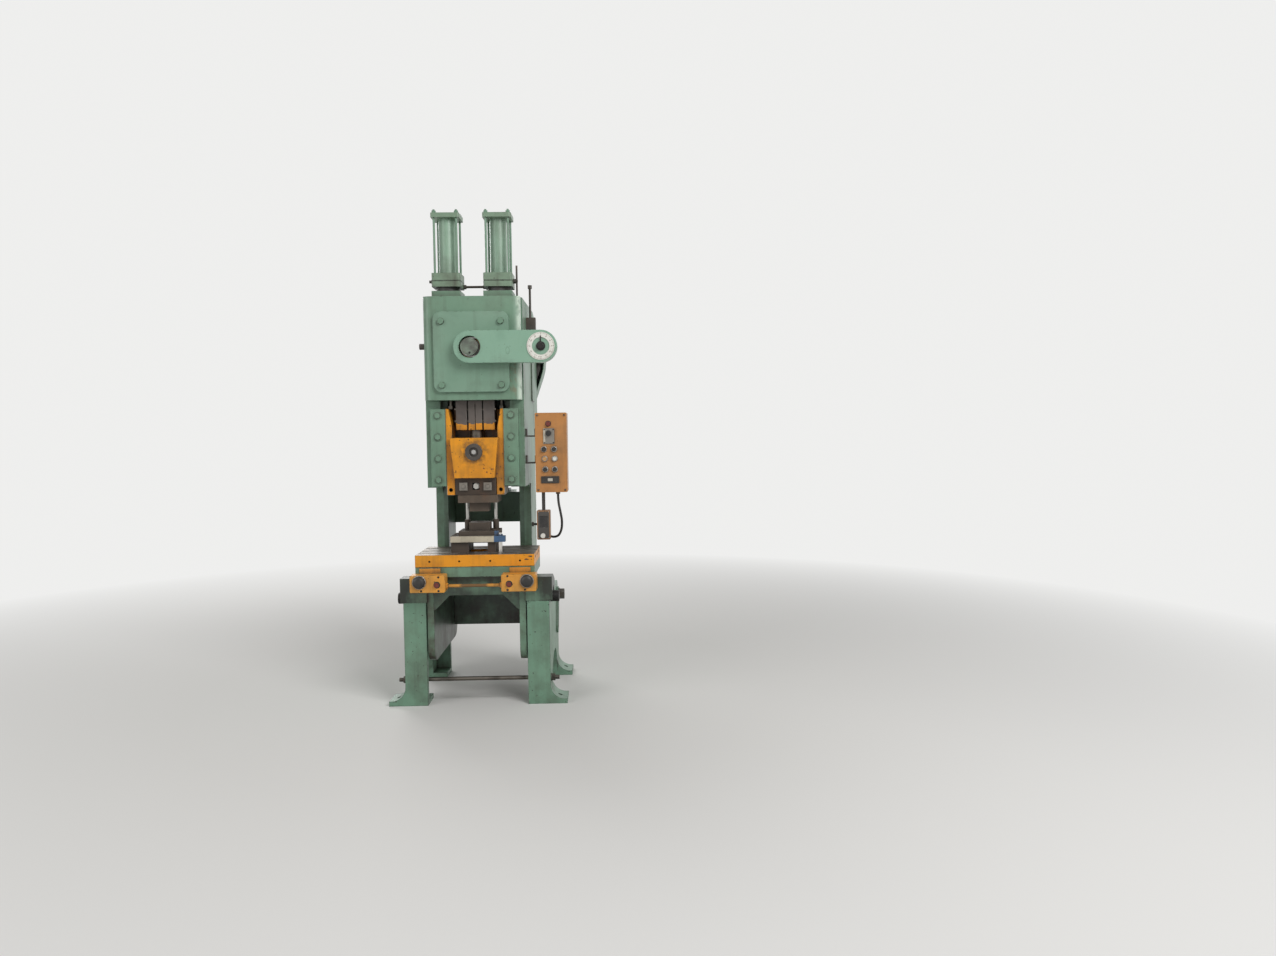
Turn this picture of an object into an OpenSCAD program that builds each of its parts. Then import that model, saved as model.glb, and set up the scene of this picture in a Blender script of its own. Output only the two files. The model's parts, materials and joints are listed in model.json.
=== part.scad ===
// Inclinable gap-frame stamping press, about 45 tonnes, with twin air balancers.
// X runs to the operator's right, Y away from the operator and Z up.
// The origin lies on the floor, midway between the four anchor holes.

/* [Frame] */
// Half width over the frame's side plates
plate_out = 284; // [270:1:290]
// Thickness of each side plate
plate_t = 38; // [25:1:45]
// Front edge of the column, at the back of the throat
throat_y = 0; // [-10:5:40]
// Roundness of the throat's corners
throat_r = 60; // [20:5:90]
// Underside of the head over the throat
head_z = 1258; // [1240:2:1264]
// Front face of the gib seats
seat_y = -290; // [-300:1:-284]
// Rear face of the column
column_back_y = 420; // [380:5:440]
// Rear face of the crown
crown_back_y = 650; // [600:10:700]
// Radius of the crown's upper rear corner
crown_back_r = 260; // [150:10:320]
// Height at which the crown's overhang starts at the rear
overhang_z = 1640; // [1560:10:1700]
// Lowest point of the side plates
plate_bottom_z = 250; // [230:5:320]
// Width of the stiffening rib along the throat
throat_rib_w = 72; // [50:1:90]
// Depth of the stiffening rib along the throat
throat_rib_t = 34; // [20:1:50]

/* [Crown] */
// Half width of the crown's front box
crown_w2 = 278; // [270:1:282]
// Front face of the crown
crown_y = -375; // [-385:1:-368]
// Underside of the crown
crown_z = 1763; // [1755:1:1775]
// Top of the crown
crown_top_z = 2354; // [2330:1:2370]
// Roundness of the crown's front corners
crown_r = 46; // [20:1:60]
// Wall of the crown box
crown_wall = 38; // [28:1:42]
// Depth of the crown's box before it meets the side plates
crown_box_d = 235; // [200:5:260]

/* [Bed] */
// Half width of the bed under the bolster
bed_w2 = 340; // [330:1:350]
// Front face of the bed
bed_y = -425; // [-432:1:-418]
// Rear edge of the bed's table
bed_back_y = -30; // [-40:1:-20]
// Top of the bed, where the bolster sits
bed_z = 812; // [800:1:820]
// Thickness of the bed's table
bed_table_t = 60; // [50:1:70]
// Front wall of the bed
bed_wall = 34; // [25:1:40]
// Top of the scrap opening under the bed
chute_top_z = 640; // [610:5:660]
// Chamfer at the corners of the scrap opening
chute_chamfer = 84; // [40:2:100]
// Width of the opening in the table, under the bolster
bed_hole_w = 320; // [240:10:400]
// Depth of the opening in the table
bed_hole_d = 180; // [160:5:220]

/* [Bolster] */
// Bolster width
bolster_w = 680; // [660:2:700]
// Bolster depth
bolster_d = 400; // [380:2:410]
// Bolster thickness
bolster_t = 68; // [55:1:80]
// Width of a T-slot's neck
slot_w = 18; // [14:1:22]
// Width of a T-slot's foot
slot_foot_w = 32; // [28:1:38]
// Depth of a T-slot's neck
slot_neck_h = 18; // [12:1:24]
// Height of a T-slot's foot
slot_foot_h = 14; // [10:1:18]
// Distance between the T-slots
slot_pitch = 120; // [100:2:130]
// Drop hole through the bolster
drop_d = 120; // [80:2:150]

/* [Legs] */
// Half width over the legs
leg_out = 419; // [415:1:425]
// Thickness of a leg's outer wall
leg_wall = 40; // [30:1:42]
// Inner edge of a leg's flanges
leg_in = 290; // [288:1:300]
// Half depth of a leg
leg_d2 = 400; // [380:5:410]
// Height of a leg
leg_h = 602; // [595:1:604]
// Thickness of a leg's front and rear flanges
leg_flange_t = 35; // [25:1:36]
// Height of the arch between the feet
arch_h = 220; // [140:5:230]
// Roundness of that opening's upper corners
arch_r = 200; // [100:5:220]
// Length of each foot along the leg
foot_len = 165; // [150:5:190]
// Half width over the feet
foot_out = 515; // [500:1:530]
// Thickness of a foot's flat
foot_t = 28; // [20:1:35]
// Radius of the flare from the leg to the foot
flare_r = 82; // [50:2:86]
// Distance of the anchor holes from the centre line, sideways
anchor_x = 470; // [460:1:480]
// Distance of the anchor holes from the centre, front to back
anchor_y = 330; // [320:1:340]
// Anchor hole
anchor_d = 26; // [20:1:30]
// Tie rod between the legs
tie_d = 24; // [18:1:30]
// Rise of the tie rod's washer over the feet's flares
tie_rise = 4; // [2:1:60]
// Distance of the tie rod behind the leg's front
tie_inset = 70; // [65:1:100]

/* [Tilt] */
// Place of the tilt pivot, front to back
pivot_y = -280; // [-290:1:-276]
// Rise of the tilt pivot over the leg's top
pivot_rise = 8; // [-6:1:20]
// Pivot pin
pivot_d = 64; // [50:1:70]
// Pivot boss on the frame
pivot_boss_d = 124; // [110:1:130]
// Lug round the pivot on the leg
pivot_lug_d = 124; // [100:1:126]
// Cap over the outer end of the pivot pin
pivot_cap_d = 66; // [66:1:80]
// Place of the clamp bolt behind the pivot
clamp_dy = 580; // [560:1:590]
// Drop of the clamp bolt below the pivot
clamp_dz = 90; // [70:1:110]
// Clamp bolt
clamp_d = 40; // [30:1:44]
// Clamp boss on the frame
clamp_boss_d = 96; // [80:1:110]
// How far the frame leans back at most, in degrees
tilt_max = 20; // [10:1:20]

/* [Drive] */
// Height of the crank's axis
crank_z = 2060; // [2050:1:2070]
// Press stroke
stroke = 50; // [30:2:50]
// Line of force, front to back
axis_y = -235; // [-240:1:-230]
// Crank pin
crank_pin_d = 120; // [100:2:124]
// Front journal
front_journal_d = 100; // [80:2:104]
// Rear journals and shaft
shaft_d = 110; // [90:2:112]
// Crank cheeks
cheek_d = 190; // [172:2:200]
// Thickness of a cheek
cheek_t = 28; // [20:1:29]
// Thickness of the connecting rod's big end
rod_t = 92; // [70:2:94]
// Half width of the connecting rod's big end
rod_w2 = 125; // [122:1:128]
// Half height of the connecting rod's big end
rod_h2 = 102; // [96:1:108]
// Width of the connecting rod's shank
rod_shank_w = 140; // [100:5:160]
// Half width of the rod's clamped lower end
rod_foot_w2 = 112; // [104:1:118]
// Depth of the rod's clamped lower end
rod_foot_d = 108; // [100:1:112]
// Bottom of the rod's lower end at the top of the stroke
rod_foot_z = 1592; // [1590:1:1605]
// Height of the rod's clamped lower end
rod_foot_h = 172; // [120:2:200]
// Bearing bushes round the shaft, wall
bush_t = 10; // [6:1:14]
// Main bearing, front face
main_bearing_y = -150; // [-152:1:-130]
// Length of the main bearing
main_bearing_l = 90; // [60:5:110]
// Running clearance in a bearing, on the radius
run_gap = 0.05; // [0.02:0.01:0.09]
// Flywheel
flywheel_d = 620; // [560:10:640]
// Width of the flywheel's rim
flywheel_w = 96; // [80:2:110]
// Front face of the flywheel
flywheel_y = 690; // [680:2:720]
// Flywheel's seat on the shaft
flywheel_bore = 96; // [80:2:100]
// Number of belts
belts = 3; // [2:1:4]
// Width of a belt
belt_w = 13; // [10:1:14]
// Height of a belt
belt_h = 9; // [7:1:11]
// Spacing of the belts
belt_pitch = 20; // [18:1:24]
// Motor pulley
pulley_d = 124; // [110:2:140]
// Height of the motor's shaft
motor_z = 1300; // [1290:2:1310]
// Motor body
motor_d = 216; // [180:2:220]
// Length of the motor body
motor_l = 220; // [180:5:230]
// Distance from the motor's shaft to its feet
motor_foot_h = 120; // [112:1:130]
// Belt guard's clearance round the flywheel and pulley
guard_gap = 26; // [15:1:35]
// Belt guard's sheet
guard_t = 4; // [3:0.5:6]
// Clutch disc
clutch_d = 360; // [300:10:380]

/* [Cover and dial] */
// Front cover, width
cover_w = 430; // [420:1:440]
// Front cover, height
cover_h = 456; // [440:1:460]
// Height of the cover's centre
cover_z = 2037; // [2030:1:2045]
// Thickness of the front cover
cover_t = 20; // [14:1:26]
// Roundness of the cover's corners
cover_r = 44; // [20:1:50]
// Overlap of the cover on the crown, round the opening
cover_lap = 60; // [56:1:70]
// Spacing of the cover's bolts, sideways
cover_bolt_dx = 338; // [320:1:350]
// Spacing of the cover's bolts, upward
cover_bolt_dz = 362; // [350:1:372]
// Height of the middle of the cover's bolts
cover_bolt_z = 2029; // [2024:1:2034]
// Width across the head of a cover bolt
cover_bolt_af = 32; // [24:1:36]
// Half height of the dial arm
arm_r = 91; // [85:1:95]
// Distance between the crank and the dial
arm_l = 400; // [380:2:420]
// Depth of the dial arm
arm_d = 62; // [50:1:75]
// Wall of the dial arm
arm_t = 6; // [4:0.5:8]
// Cap on the end of the crank
end_cap_d = 98; // [90:1:104]
// Ring round the end cap
end_ring_d = 122; // [118:1:130]
// Dial ring, outside
dial_d = 156; // [140:1:164]
// Dial ring, inside
dial_bore = 98; // [80:1:110]
// Pointer knob
pointer_d = 52; // [40:1:60]
// Sprockets of the dial's chain
sprocket_d = 100; // [90:1:104]
// Teeth on a sprocket
sprocket_teeth = 24; // [16:1:30]
// Width of the chain
chain_w = 9; // [6:1:12]

/* [Slide] */
// Half width of the slide
slide_w2 = 168; // [165:1:172]
// Front face of the slide's body
slide_y = -320; // [-326:1:-312]
// Rear face of the slide's body
slide_back_y = -140; // [-150:1:-120]
// Bottom of the slide at the top of the stroke
slide_z = 1215; // [1210:1:1225]
// Top of the slide's wings at the top of the stroke
slide_top_z = 1715; // [1700:1:1720]
// Floor of the pocket for the connecting rod
pocket_z = 1547; // [1540:1:1550]
// Half width of the pocket
pocket_w2 = 131; // [126:1:134]
// Top half width of the slide's front box
box_top_w2 = 139; // [130:1:145]
// Bottom half width of the slide's front box
box_bottom_w2 = 115; // [105:1:125]
// Front face of the slide's front box
box_y = -370; // [-378:1:-360]
// Bottom of the slide's front box
box_z = 1315; // [1310:1:1325]
// How far the slide's tongues reach behind the gibs
tongue_w = 33; // [25:1:36]
// Depth of the tongues
tongue_d = 66; // [50:1:80]
// Clearance of the slideways
way_gap = 0.3; // [0.2:0.05:0.5]
// Gib width
gib_w = 85; // [80:1:88]
// Gib thickness
gib_t = 40; // [30:1:46]
// Bottom of the gibs
gib_z = 1268; // [1266:1:1275]
// Length of the gibs
gib_l = 446; // [430:1:450]
// Bolts in each gib
gib_bolts_n = 4; // [3:1:5]
// Spacing of the gib bolts
gib_bolt_pitch = 124; // [100:1:126]
// Width across the head of a gib bolt
gib_bolt_af = 30; // [22:1:34]
// Rise of the die height adjustment
adjust_h = 40; // [20:2:42]
// Adjusting screw
screw_d = 76; // [60:1:80]
// Ball at the foot of the adjusting screw
ball_d = 104; // [90:1:108]
// Height of the ball
ball_z = 1392; // [1388:1:1396]
// Neck of the adjusting screw
neck_d = 54; // [44:1:58]
// Cavity in the slide round the screw
cavity_d = 132; // [128:1:136]
// Height of the adjusting shaft
adjust_z = 1465; // [1462:1:1468]
// Pitch radius of the screw's wheel
wheel_r = 62; // [58:1:63]
// Turns of the adjusting shaft for one turn of the screw
wheel_ratio = 2; // [2:1:3]
// Adjusting shaft
adjust_d = 28; // [22:1:30]
// Flange round the adjusting shaft
flange_d = 98; // [90:1:104]
// Recess in the flange
flange_recess_d = 56; // [50:1:62]
// Width across the hexagon of the adjusting shaft
adjust_af = 24; // [17:1:26]
// Half width of the shank clamp
clamp_w2 = 118; // [110:1:120]
// Front face of the shank clamp
clamp_y = -326; // [-340:1:-318]
// Shank hole
shank_d = 40; // [32:1:50]

/* [Balancers] */
// Spacing of the balancers
balancer_dx = 296; // [290:1:300]
// Balancer tube, outside
tube_d = 97; // [90:1:104]
// Balancer tube, wall
tube_t = 6; // [4:0.5:8]
// Side of the square lower cap
cap_w = 165; // [155:1:170]
// Bottom of the lower cap
cap_z = 2416; // [2410:1:2422]
// Height of the lower cap
cap_h = 79; // [70:1:84]
// Visible length of the tube
tube_l = 316; // [310:1:330]
// Side of the square top flange
head_w = 164; // [150:1:170]
// Thickness of the top flange
head_t = 26; // [20:1:34]
// Tie rod of a balancer
stud_d = 13; // [10:1:16]
// Distance of the tie rods from the tube's centre
stud_x = 64; // [62:1:68]
// Piston rod
piston_rod_d = 25; // [20:1:28]
// Height of the piston
piston_h = 30; // [20:1:36]
// Pad cast on the crown under each balancer
pad_h = 38; // [20:1:50]
// Air pipe between the balancers
pipe_d = 14; // [10:1:18]

/* [Die set] */
// Middle of the die set, sideways
die_x = 10; // [-20:1:20]
// Guide posts' spacing
post_dx = 168; // [150:1:180]
// Guide post
post_d = 20; // [16:1:24]
// Top of the parallels above the bolster
parallel_h = 56; // [40:1:66]
// Thickness of the die shoe over the parallels
lower_shoe_t = 27; // [20:1:32]
// Lower die block, height
lower_block_h = 47; // [30:1:48]
// Upper shoe, thickness
upper_shoe_t = 46; // [36:1:52]
// Punch block, height
punch_h = 54; // [40:1:56]

/* [Controls] */
// Control box, width
control_w = 185; // [170:1:200]
// Control box, height
control_h = 465; // [440:1:480]
// Control box, depth
control_d = 128; // [100:1:150]
// Left edge of the control box
control_x = 345; // [335:1:355]
// Bottom of the control box
control_z = 1222; // [1210:1:1230]
// Front of the control box
control_y = -290; // [-300:1:-270]
// Thickness of the control panel
panel_t = 5; // [3:0.5:8]
// Push button on the control panel
push_d = 24; // [20:1:26]
// Travel of a push button
push_travel = 5; // [3:0.5:6]
// Small switch box, width
switch_w = 78; // [70:1:86]
// Small switch box, height
switch_h = 172; // [160:1:180]
// Small switch box, depth
switch_dy = 62; // [50:1:70]
// Bottom of the small switch box
switch_z = 944; // [935:1:950]
// Middle of the small switch box, sideways
switch_x = 386; // [380:1:392]
// Cable from the control box to the frame
cable_d = 14; // [10:1:16]
// Two-hand button boxes, width
station_w = 198; // [180:1:210]
// Two-hand button boxes, height
station_h = 98; // [90:1:104]
// Two-hand button boxes, depth
station_d = 84; // [70:1:95]
// Middle of each button box, sideways
station_x = 257; // [250:1:262]
// Bottom of the button boxes
station_z = 678; // [670:1:684]
// Palm button
palm_d = 68; // [60:1:72]
// Travel of a palm button
palm_travel = 8; // [5:0.5:10]
// Conduit between the button boxes
conduit_d = 18; // [14:1:22]

/* [Smaller sizes] */
// Roundness of a leg's upper rear corner
leg_top_r = 60; // [20:5:80]
// Thickness of a leg's top flange
leg_top_t = 20; // [12:1:22]
// Front end of a leg's top flange
clamp_back_y = 40; // [20:5:80]
// Raised rim round the clamp bolt's slot
slot_boss_t = 12; // [6:1:18]
// Clearance of the clamp bolt in its slot
slot_gap = 1.5; // [1:0.5:3]
// Rear end of the side plates' lower lobe
plate_rear_y = 400; // [360:5:410]
// Roundness of the lower lobe at the rear
plate_rear_r = 90; // [60:5:120]
// Roundness of the lower lobe at the front
plate_front_r = 80; // [60:5:120]
// Rear wall of the bed
bed_rear_wall_y = 300; // [250:5:330]
// Lower edge of the bed's rear wall
bed_rear_wall_z = 330; // [280:10:400]
// How far the throat's rib stands out from the side plate
throat_rib_out = 6; // [3:1:12]
// Thickness of the slideway's bar behind the tongues
way_bar_t = 50; // [30:2:56]
// Half width over the ears
ear_out = 436; // [425:1:445]
// Length of an ear, over and behind the pivot
ear_l = 250; // [200:5:260]
// Height of an ear
ear_h = 140; // [120:2:148]
// Fall of an ear's top towards the rear
ear_fall = 50; // [20:2:60]
// Gap between an ear and the leg's top
ear_gap = 0.3; // [0.2:0.1:4]
// Width of the blank panel cast on each side of the crown
panel_cast_w = 170; // [120:5:220]
// Height of that panel
panel_cast_h = 330; // [200:10:400]
// How far that panel stands out
panel_cast_t = 8; // [4:1:10]
// Front face of the web behind the slide
head_web_y = -96; // [-110:1:-80]
// Thickness of the web behind the slide
head_web_t = 40; // [25:1:50]
// Length of the rear bearing's boss inside the rear wall
rear_boss_l = 42; // [20:1:60]
// Shank of a gib bolt
gib_bolt_d = 16; // [12:1:20]
// Depth of a gib bolt's thread
gib_bolt_depth = 40; // [25:1:45]
// Head of a gib bolt, height
gib_bolt_head = 11; // [8:1:14]
// Shank of a cover bolt
cover_bolt_d = 16; // [12:1:20]
// Depth of a cover bolt's thread
cover_bolt_depth = 26; // [15:1:34]
// Head of a cover bolt, height
cover_bolt_head = 12; // [8:1:16]
// Length of the cap on a pivot pin
pivot_cap_l = 50; // [30:1:60]
// Length of the front bearing's housing behind the cover
cover_housing_l = 56; // [40:1:60]
// Gap between the arm's rim and the cover
arm_back_gap = 0.3; // [0.2:0.1:1]
// Chain's place behind the arm's face
chain_dy = 24; // [22:1:30]
// Thickness of the chain
chain_h = 9; // [6:1:10]
// Height of a sprocket's teeth
sprocket_tooth = 5; // [3:0.5:6]
// Stub of the crank that carries its sprocket
crank_stub_d = 60; // [40:1:70]
// Shaft of the pointer
pointer_shaft_d = 22; // [16:1:26]
// Length of the pointer's bearing
arm_bearing_l = 16; // [10:1:18]
// Thickness of the dial ring
dial_t = 5; // [3:0.5:8]
// Height of the pointer's knob
pointer_h = 22; // [12:1:30]
// Block of the air filter on the right side plate
filter_w = 56; // [40:2:70]
// Height of the filter's block
filter_h = 84; // [60:2:100]
// Filter's bowl under its block
filter_bowl_d = 42; // [30:1:50]
// Length of the filter's standing pipe
filter_pipe_l = 270; // [200:10:290]
// Plug on the crown's left side, across its flats
crown_plug_af = 30; // [20:1:32]
// Roundness of the balancers' square plates
cap_r = 12; // [6:1:20]
// Length of a tie rod above its flange
stud_end = 20; // [15:1:30]
// Nut at the foot of a piston rod
rod_nut_d = 44; // [36:1:48]
// Plate of the motor's bracket
bracket_t = 16; // [10:1:20]
// Height of the motor bracket's back plate
bracket_drop = 180; // [120:5:220]
// Half width of the motor's shelf
motor_shelf_w2 = 130; // [120:5:150]
// Distance of the motor from the column
motor_gap = 30; // [24:1:32]
// Cooling ribs round the motor
motor_ribs = 26; // [12:1:36]
// Height of a cooling rib
motor_rib_h = 12; // [6:1:14]
// Width of a motor foot
motor_foot_w = 44; // [30:1:50]
// Thickness of a motor foot
motor_foot_t = 14; // [8:1:18]
// Terminal box on the motor, side of its square
terminal_w = 90; // [60:2:100]
// Height of the terminal box
terminal_h = 70; // [40:2:80]
// Motor shaft
motor_shaft_d = 28; // [22:1:38]
// Depth of a belt groove
groove_h = 10; // [8:0.5:12]
// Gap between a belt and the bottom of its groove
belt_gap = 0.8; // [0.6:0.1:1.5]
// Depth of the hollow on each side of the flywheel
flywheel_dish = 30; // [15:1:36]
// Thickness of the flywheel's rim
flywheel_rim = 52; // [40:1:70]
// Flywheel's hub
flywheel_hub_d = 190; // [150:5:220]
// Holes through the flywheel's web
flywheel_hole_d = 70; // [40:2:80]
// Distance of those holes from the axis
flywheel_hole_r = 176; // [160:2:190]
// Gap between the crown's rear and the guard
guard_front_gap = 10; // [8:1:12]
// Depth of the belt guard
guard_d = 190; // [180:2:220]
// Window in the belt guard
guard_hole_w = 220; // [150:10:300]
// Height of the guard's lower lugs below the crank
guard_lug_dz = 262; // [240:2:280]
// Width of the guard's lugs
guard_lug_h = 40; // [20:2:60]
// Gap between the rod and the crank's cheeks
rod_side_gap = 1; // [0.5:0.5:2]
// Height of the crank's end cap over the arm
end_cap_h = 16; // [8:1:24]
// Thickness of the clutch disc
clutch_t = 34; // [20:1:40]
// Roundness of the big end's corners
rod_corner_r = 12; // [6:1:16]
// Depth of the connecting rod's shank
rod_shank_d = 84; // [60:2:92]
// Length of the screw inside the rod at the top of the stroke
screw_grip = 108; // [80:2:112]
// Place of the grooves in the rod's foot
foot_groove_x = 44; // [42:1:60]
// Width of those grooves
foot_groove_w = 9; // [6:1:14]
// Depth of those grooves
foot_groove_d = 24; // [10:1:30]
// Slit that lets the foot close on the screw
slit_w = 4; // [2:0.5:6]
// Bolts across the rod's foot
foot_bolt_d = 10; // [8:1:12]
// Bolts of the big end, place
rod_bolt_x = 105; // [103:1:108]
// Bolts of the big end, shank
rod_bolt_d = 16; // [12:1:20]
// Teeth of the screw's wheel
wheel_teeth = 36; // [24:4:48]
// Thickness of the wheel's rim
wheel_t = 12; // [8:1:16]
// Length of the bevel teeth
bevel_l = 16; // [10:1:18]
// Clearance between the bevel teeth
bevel_gap = 0.3; // [0.2:0.1:0.6]
// Thickness of the flange round the adjusting shaft
flange_t = 16; // [10:1:20]
// Depth of the recess in that flange
flange_recess_h = 12; // [6:1:14]
// Bore behind the flange
pinion_bore_d = 72; // [66:1:76]
// Clearance of the ball in its seat
seat_gap = 0.3; // [0.1:0.1:0.5]
// Bronze under the ball
seat_t = 12; // [8:1:20]
// Angle up to which the ring holds the ball
seat_ring_angle = 42; // [30:1:46]
// How far the pocket opens towards its top, on each side
pocket_flare = 19; // [0:1:24]
// Rear end of the slide's pocket
pocket_back_y = -168; // [-178:1:-160]
// Depth of the shank hole
shank_h = 80; // [50:2:90]
// Holes in the slide's feet
foot_hole_d = 22; // [14:1:26]
// Studs of the shank clamp, place
clamp_stud_x = 70; // [50:1:80]
// Studs of the shank clamp
clamp_stud_d = 20; // [14:1:24]
// Square window of the shank clamp
clamp_window = 40; // [30:1:50]
// Gap that the clamp closes on the shank
clamp_gap = 1; // [0.5:0.5:3]
// Square nuts of the shank clamp
clamp_nut_w = 46; // [36:1:52]
// Thickness of those nuts
clamp_nut_t = 12; // [8:1:16]
// Height of the plate over the parallels
base_plate_t = 40; // [25:1:44]
// Depth of the die set
die_d = 190; // [150:5:210]
// Width of the die shoes
die_w = 232; // [210:2:240]
// Reach of the base plate to the left of the die's middle
die_left = 160; // [120:2:180]
// Reach of the base plate to the right
die_right = 102; // [92:2:110]
// Width of the left parallel
parallel_left_w = 102; // [60:2:110]
// Width of the right parallel
parallel_right_w = 46; // [30:2:48]
// Hole for the slugs through the die
die_hole_d = 50; // [20:2:60]
// Depth of the die block
die_block_d = 100; // [70:2:120]
// Depth of the punch block
punch_d = 90; // [60:2:110]
// Wall of a guide bush
guide_wall = 8; // [5:1:10]
// Width of the heel block beside the strap
heel_w = 64; // [50:1:80]
// Depth of the heel block
heel_d = 42; // [36:1:50]
// Post under the heel block
heel_post_d = 24; // [16:1:30]
// Bolt of the heel block
heel_bolt_d = 16; // [10:1:20]
// Travel left in the guide bushes
bush_h = 56; // [40:1:58]
// Wall of the sheet boxes
box_t = 3; // [2:0.5:5]
// Bezel round a push button
bezel_d = 34; // [30:1:36]
// Stem of a palm button
palm_stem_d = 40; // [30:1:46]
// Depth of the bore for a palm button
palm_bore = 34; // [26:1:40]
// Gland at each end of the cable
gland_l = 14; // [10:1:18]
// Width of the die block
die_block_w = 120; // [90:2:130]
// Guide posts' place behind the line of force
post_y = 60; // [52:1:70]
// Width of the punch block
punch_w = 112; // [90:2:124]
// Thickness of the strap across the die's front
strap_t = 22; // [14:1:28]
// Threaded holes in the bolster's front face
rest_hole_d = 11; // [8:1:14]
// Depth of those holes
rest_hole_l = 24; // [15:1:30]
// Gap between the bolster's rear edge and the throat's lower corner
throat_gap = 5; // [2:1:10]
// How far an ear stands in front of the side plate
ear_nose = 9; // [4:1:12]
// Length of the cable's gland on the side plate
plate_gland_l = 14; // [10:1:18]
// Place of the control box's brackets, front to back
bracket_y = -230; // [-260:5:-200]
// Stem of the small switch's knob
knob_stem_d = 16; // [10:1:20]
// Knob of the small switch, sideways from the box's middle
knob_dx = -4; // [-10:1:10]
// Height of that knob over the box's bottom
knob_dz = 24; // [20:1:36]
// Small button on a button box
small_d = 20; // [14:1:22]
// Cable's exit from the control box, sideways
cable_x = 470; // [440:5:500]
// Cable's exit from the control box, front to back
cable_y = -226; // [-250:2:-200]

/* [Hidden] */

// Small overlap for cuts, so that no skin is left
cut = 1;
green = [0.36, 0.58, 0.45];
yellow = [0.93, 0.60, 0.10];
iron = [0.25, 0.24, 0.22];
steel = [0.62, 0.62, 0.60];
bronze = [0.70, 0.52, 0.25];
black = [0.10, 0.10, 0.10];
tan_box = [0.70, 0.47, 0.24];

plate_in = plate_out - plate_t;
bolster_z = bed_z;
bolster_top_z = bolster_z + bolster_t;
bolster_y = axis_y - bolster_d / 2 + 5;
bolster_back_y = bolster_y + bolster_d;
throat_low_r = throat_y - bolster_back_y - throat_gap;
pivot_z = leg_h + pivot_rise;
tie_z = foot_t + flare_r + tie_d + tie_rise;
tie_y = tie_inset - leg_d2;
plate_front_y = bed_y + bed_wall;
pin_r = crank_pin_d / 2;
throw = stroke / 2;
// The big end is open round the crank pin: the pin's sideways swing and the
// difference between the true crank motion and an even one both have room.
big_end_gap = 0.6;
even_error = 0.22 * throw;
big_end_z = crank_z + throw;
rod_y = axis_y - rod_t / 2;
gib_in = slide_w2 + way_gap;
gib_mid = gib_in + gib_w / 2;
tongue_out = slide_w2 + tongue_w;
tongue_back_y = seat_y + tongue_d;
cover_back_y = crown_y;
cover_y = crown_y - cover_t;
arm_y = cover_y - arm_d;
belt_y = flywheel_y + flywheel_w / 2;
post_x = post_dx / 2;
clamp_r = sqrt(clamp_dy * clamp_dy + clamp_dz * clamp_dz);
clamp_angle = atan2(clamp_dz, clamp_dy);
control_mid_x = control_x + control_w / 2;
control_mid_z = control_z + control_h / 2;
station_y = bed_y - 4 - station_d;
chain_y = arm_y + chain_dy;
guard_lug_x = plate_in;
// The cable leaves the control box, hangs in one loop and enters the side plate
cable_route = [
  [470, -226, 1216], [470, -226, 1190], [473, -225, 1150], [482, -222, 1100],
  [489, -215, 1050], [486, -203, 1000], [470, -184, 962], [446, -158, 946],
  [418, -124, 944], [390, -82, 954], [362, -34, 974], [340, 22, 992],
  [326, 56, 999], [312, 69, 1000], [300, 70, 1000], [plate_out + 2, 70, 1000]];

// Helpers

// Copies its children to both sides of the middle plane
module both_sides() {
  children();
  mirror([1, 0, 0]) children();
}

// A cylinder along Y from y0, with its axis at x and z
module along_y(x, y0, z, d, l, n = 48) {
  translate([x, y0, z]) rotate([-90, 0, 0]) cylinder(d = d, h = l, $fn = n);
}

// A cylinder along X from x0, with its axis at y and z
module along_x(x0, y, z, d, l, n = 48) {
  translate([x0, y, z]) rotate([0, 90, 0]) cylinder(d = d, h = l, $fn = n);
}

// A profile drawn as (y, z) points, spread from x0 over a width
module yz_plate(x0, w, points) {
  translate([x0, 0, 0]) rotate([90, 0, 90]) linear_extrude(w) polygon(points);
}

// A profile drawn as (x, z) points, spread from y0 over a depth
module xz_plate(y0, d, points) {
  translate([0, y0 + d, 0]) rotate([90, 0, 0]) linear_extrude(d) polygon(points);
}

// Points of an arc about (a, b), from angle a0 to a1
function arc(a, b, r, a0, a1, n = 8) =
  [for (i = [0 : n]) [a + r * cos(a0 + (a1 - a0) * i / n), b + r * sin(a0 + (a1 - a0) * i / n)]];

// Outline of a rectangle with round corners, about (a, b)
function round_box(a, b, w, h, r, n = 6) = concat(
  arc(a + w / 2 - r, b + h / 2 - r, r, 0, 90, n),
  arc(a - w / 2 + r, b + h / 2 - r, r, 90, 180, n),
  arc(a - w / 2 + r, b - h / 2 + r, r, 180, 270, n),
  arc(a + w / 2 - r, b - h / 2 + r, r, 270, 360, n));

// Outline of a belt round a large circle at height a and a small one at height b
function belt_line(a, ra, b, rb, n = 24) =
  let (lean = asin((ra - rb) / (a - b)))
  concat(arc(0, a, ra, -lean, 180 + lean, n), arc(0, b, rb, 180 + lean, 360 - lean, n));

// A bar with a hexagonal section, along Y
module hex_y(x, y0, z, af, l) {
  translate([x, y0, z]) rotate([-90, 30, 0]) cylinder(d = af / cos(30), h = l, $fn = 6);
}

// A bar with a hexagonal section, along X
module hex_x(x0, y, z, af, l) {
  translate([x0, y, z]) rotate([0, 90, 0]) cylinder(d = af / cos(30), h = l, $fn = 6);
}

// Legs

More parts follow.
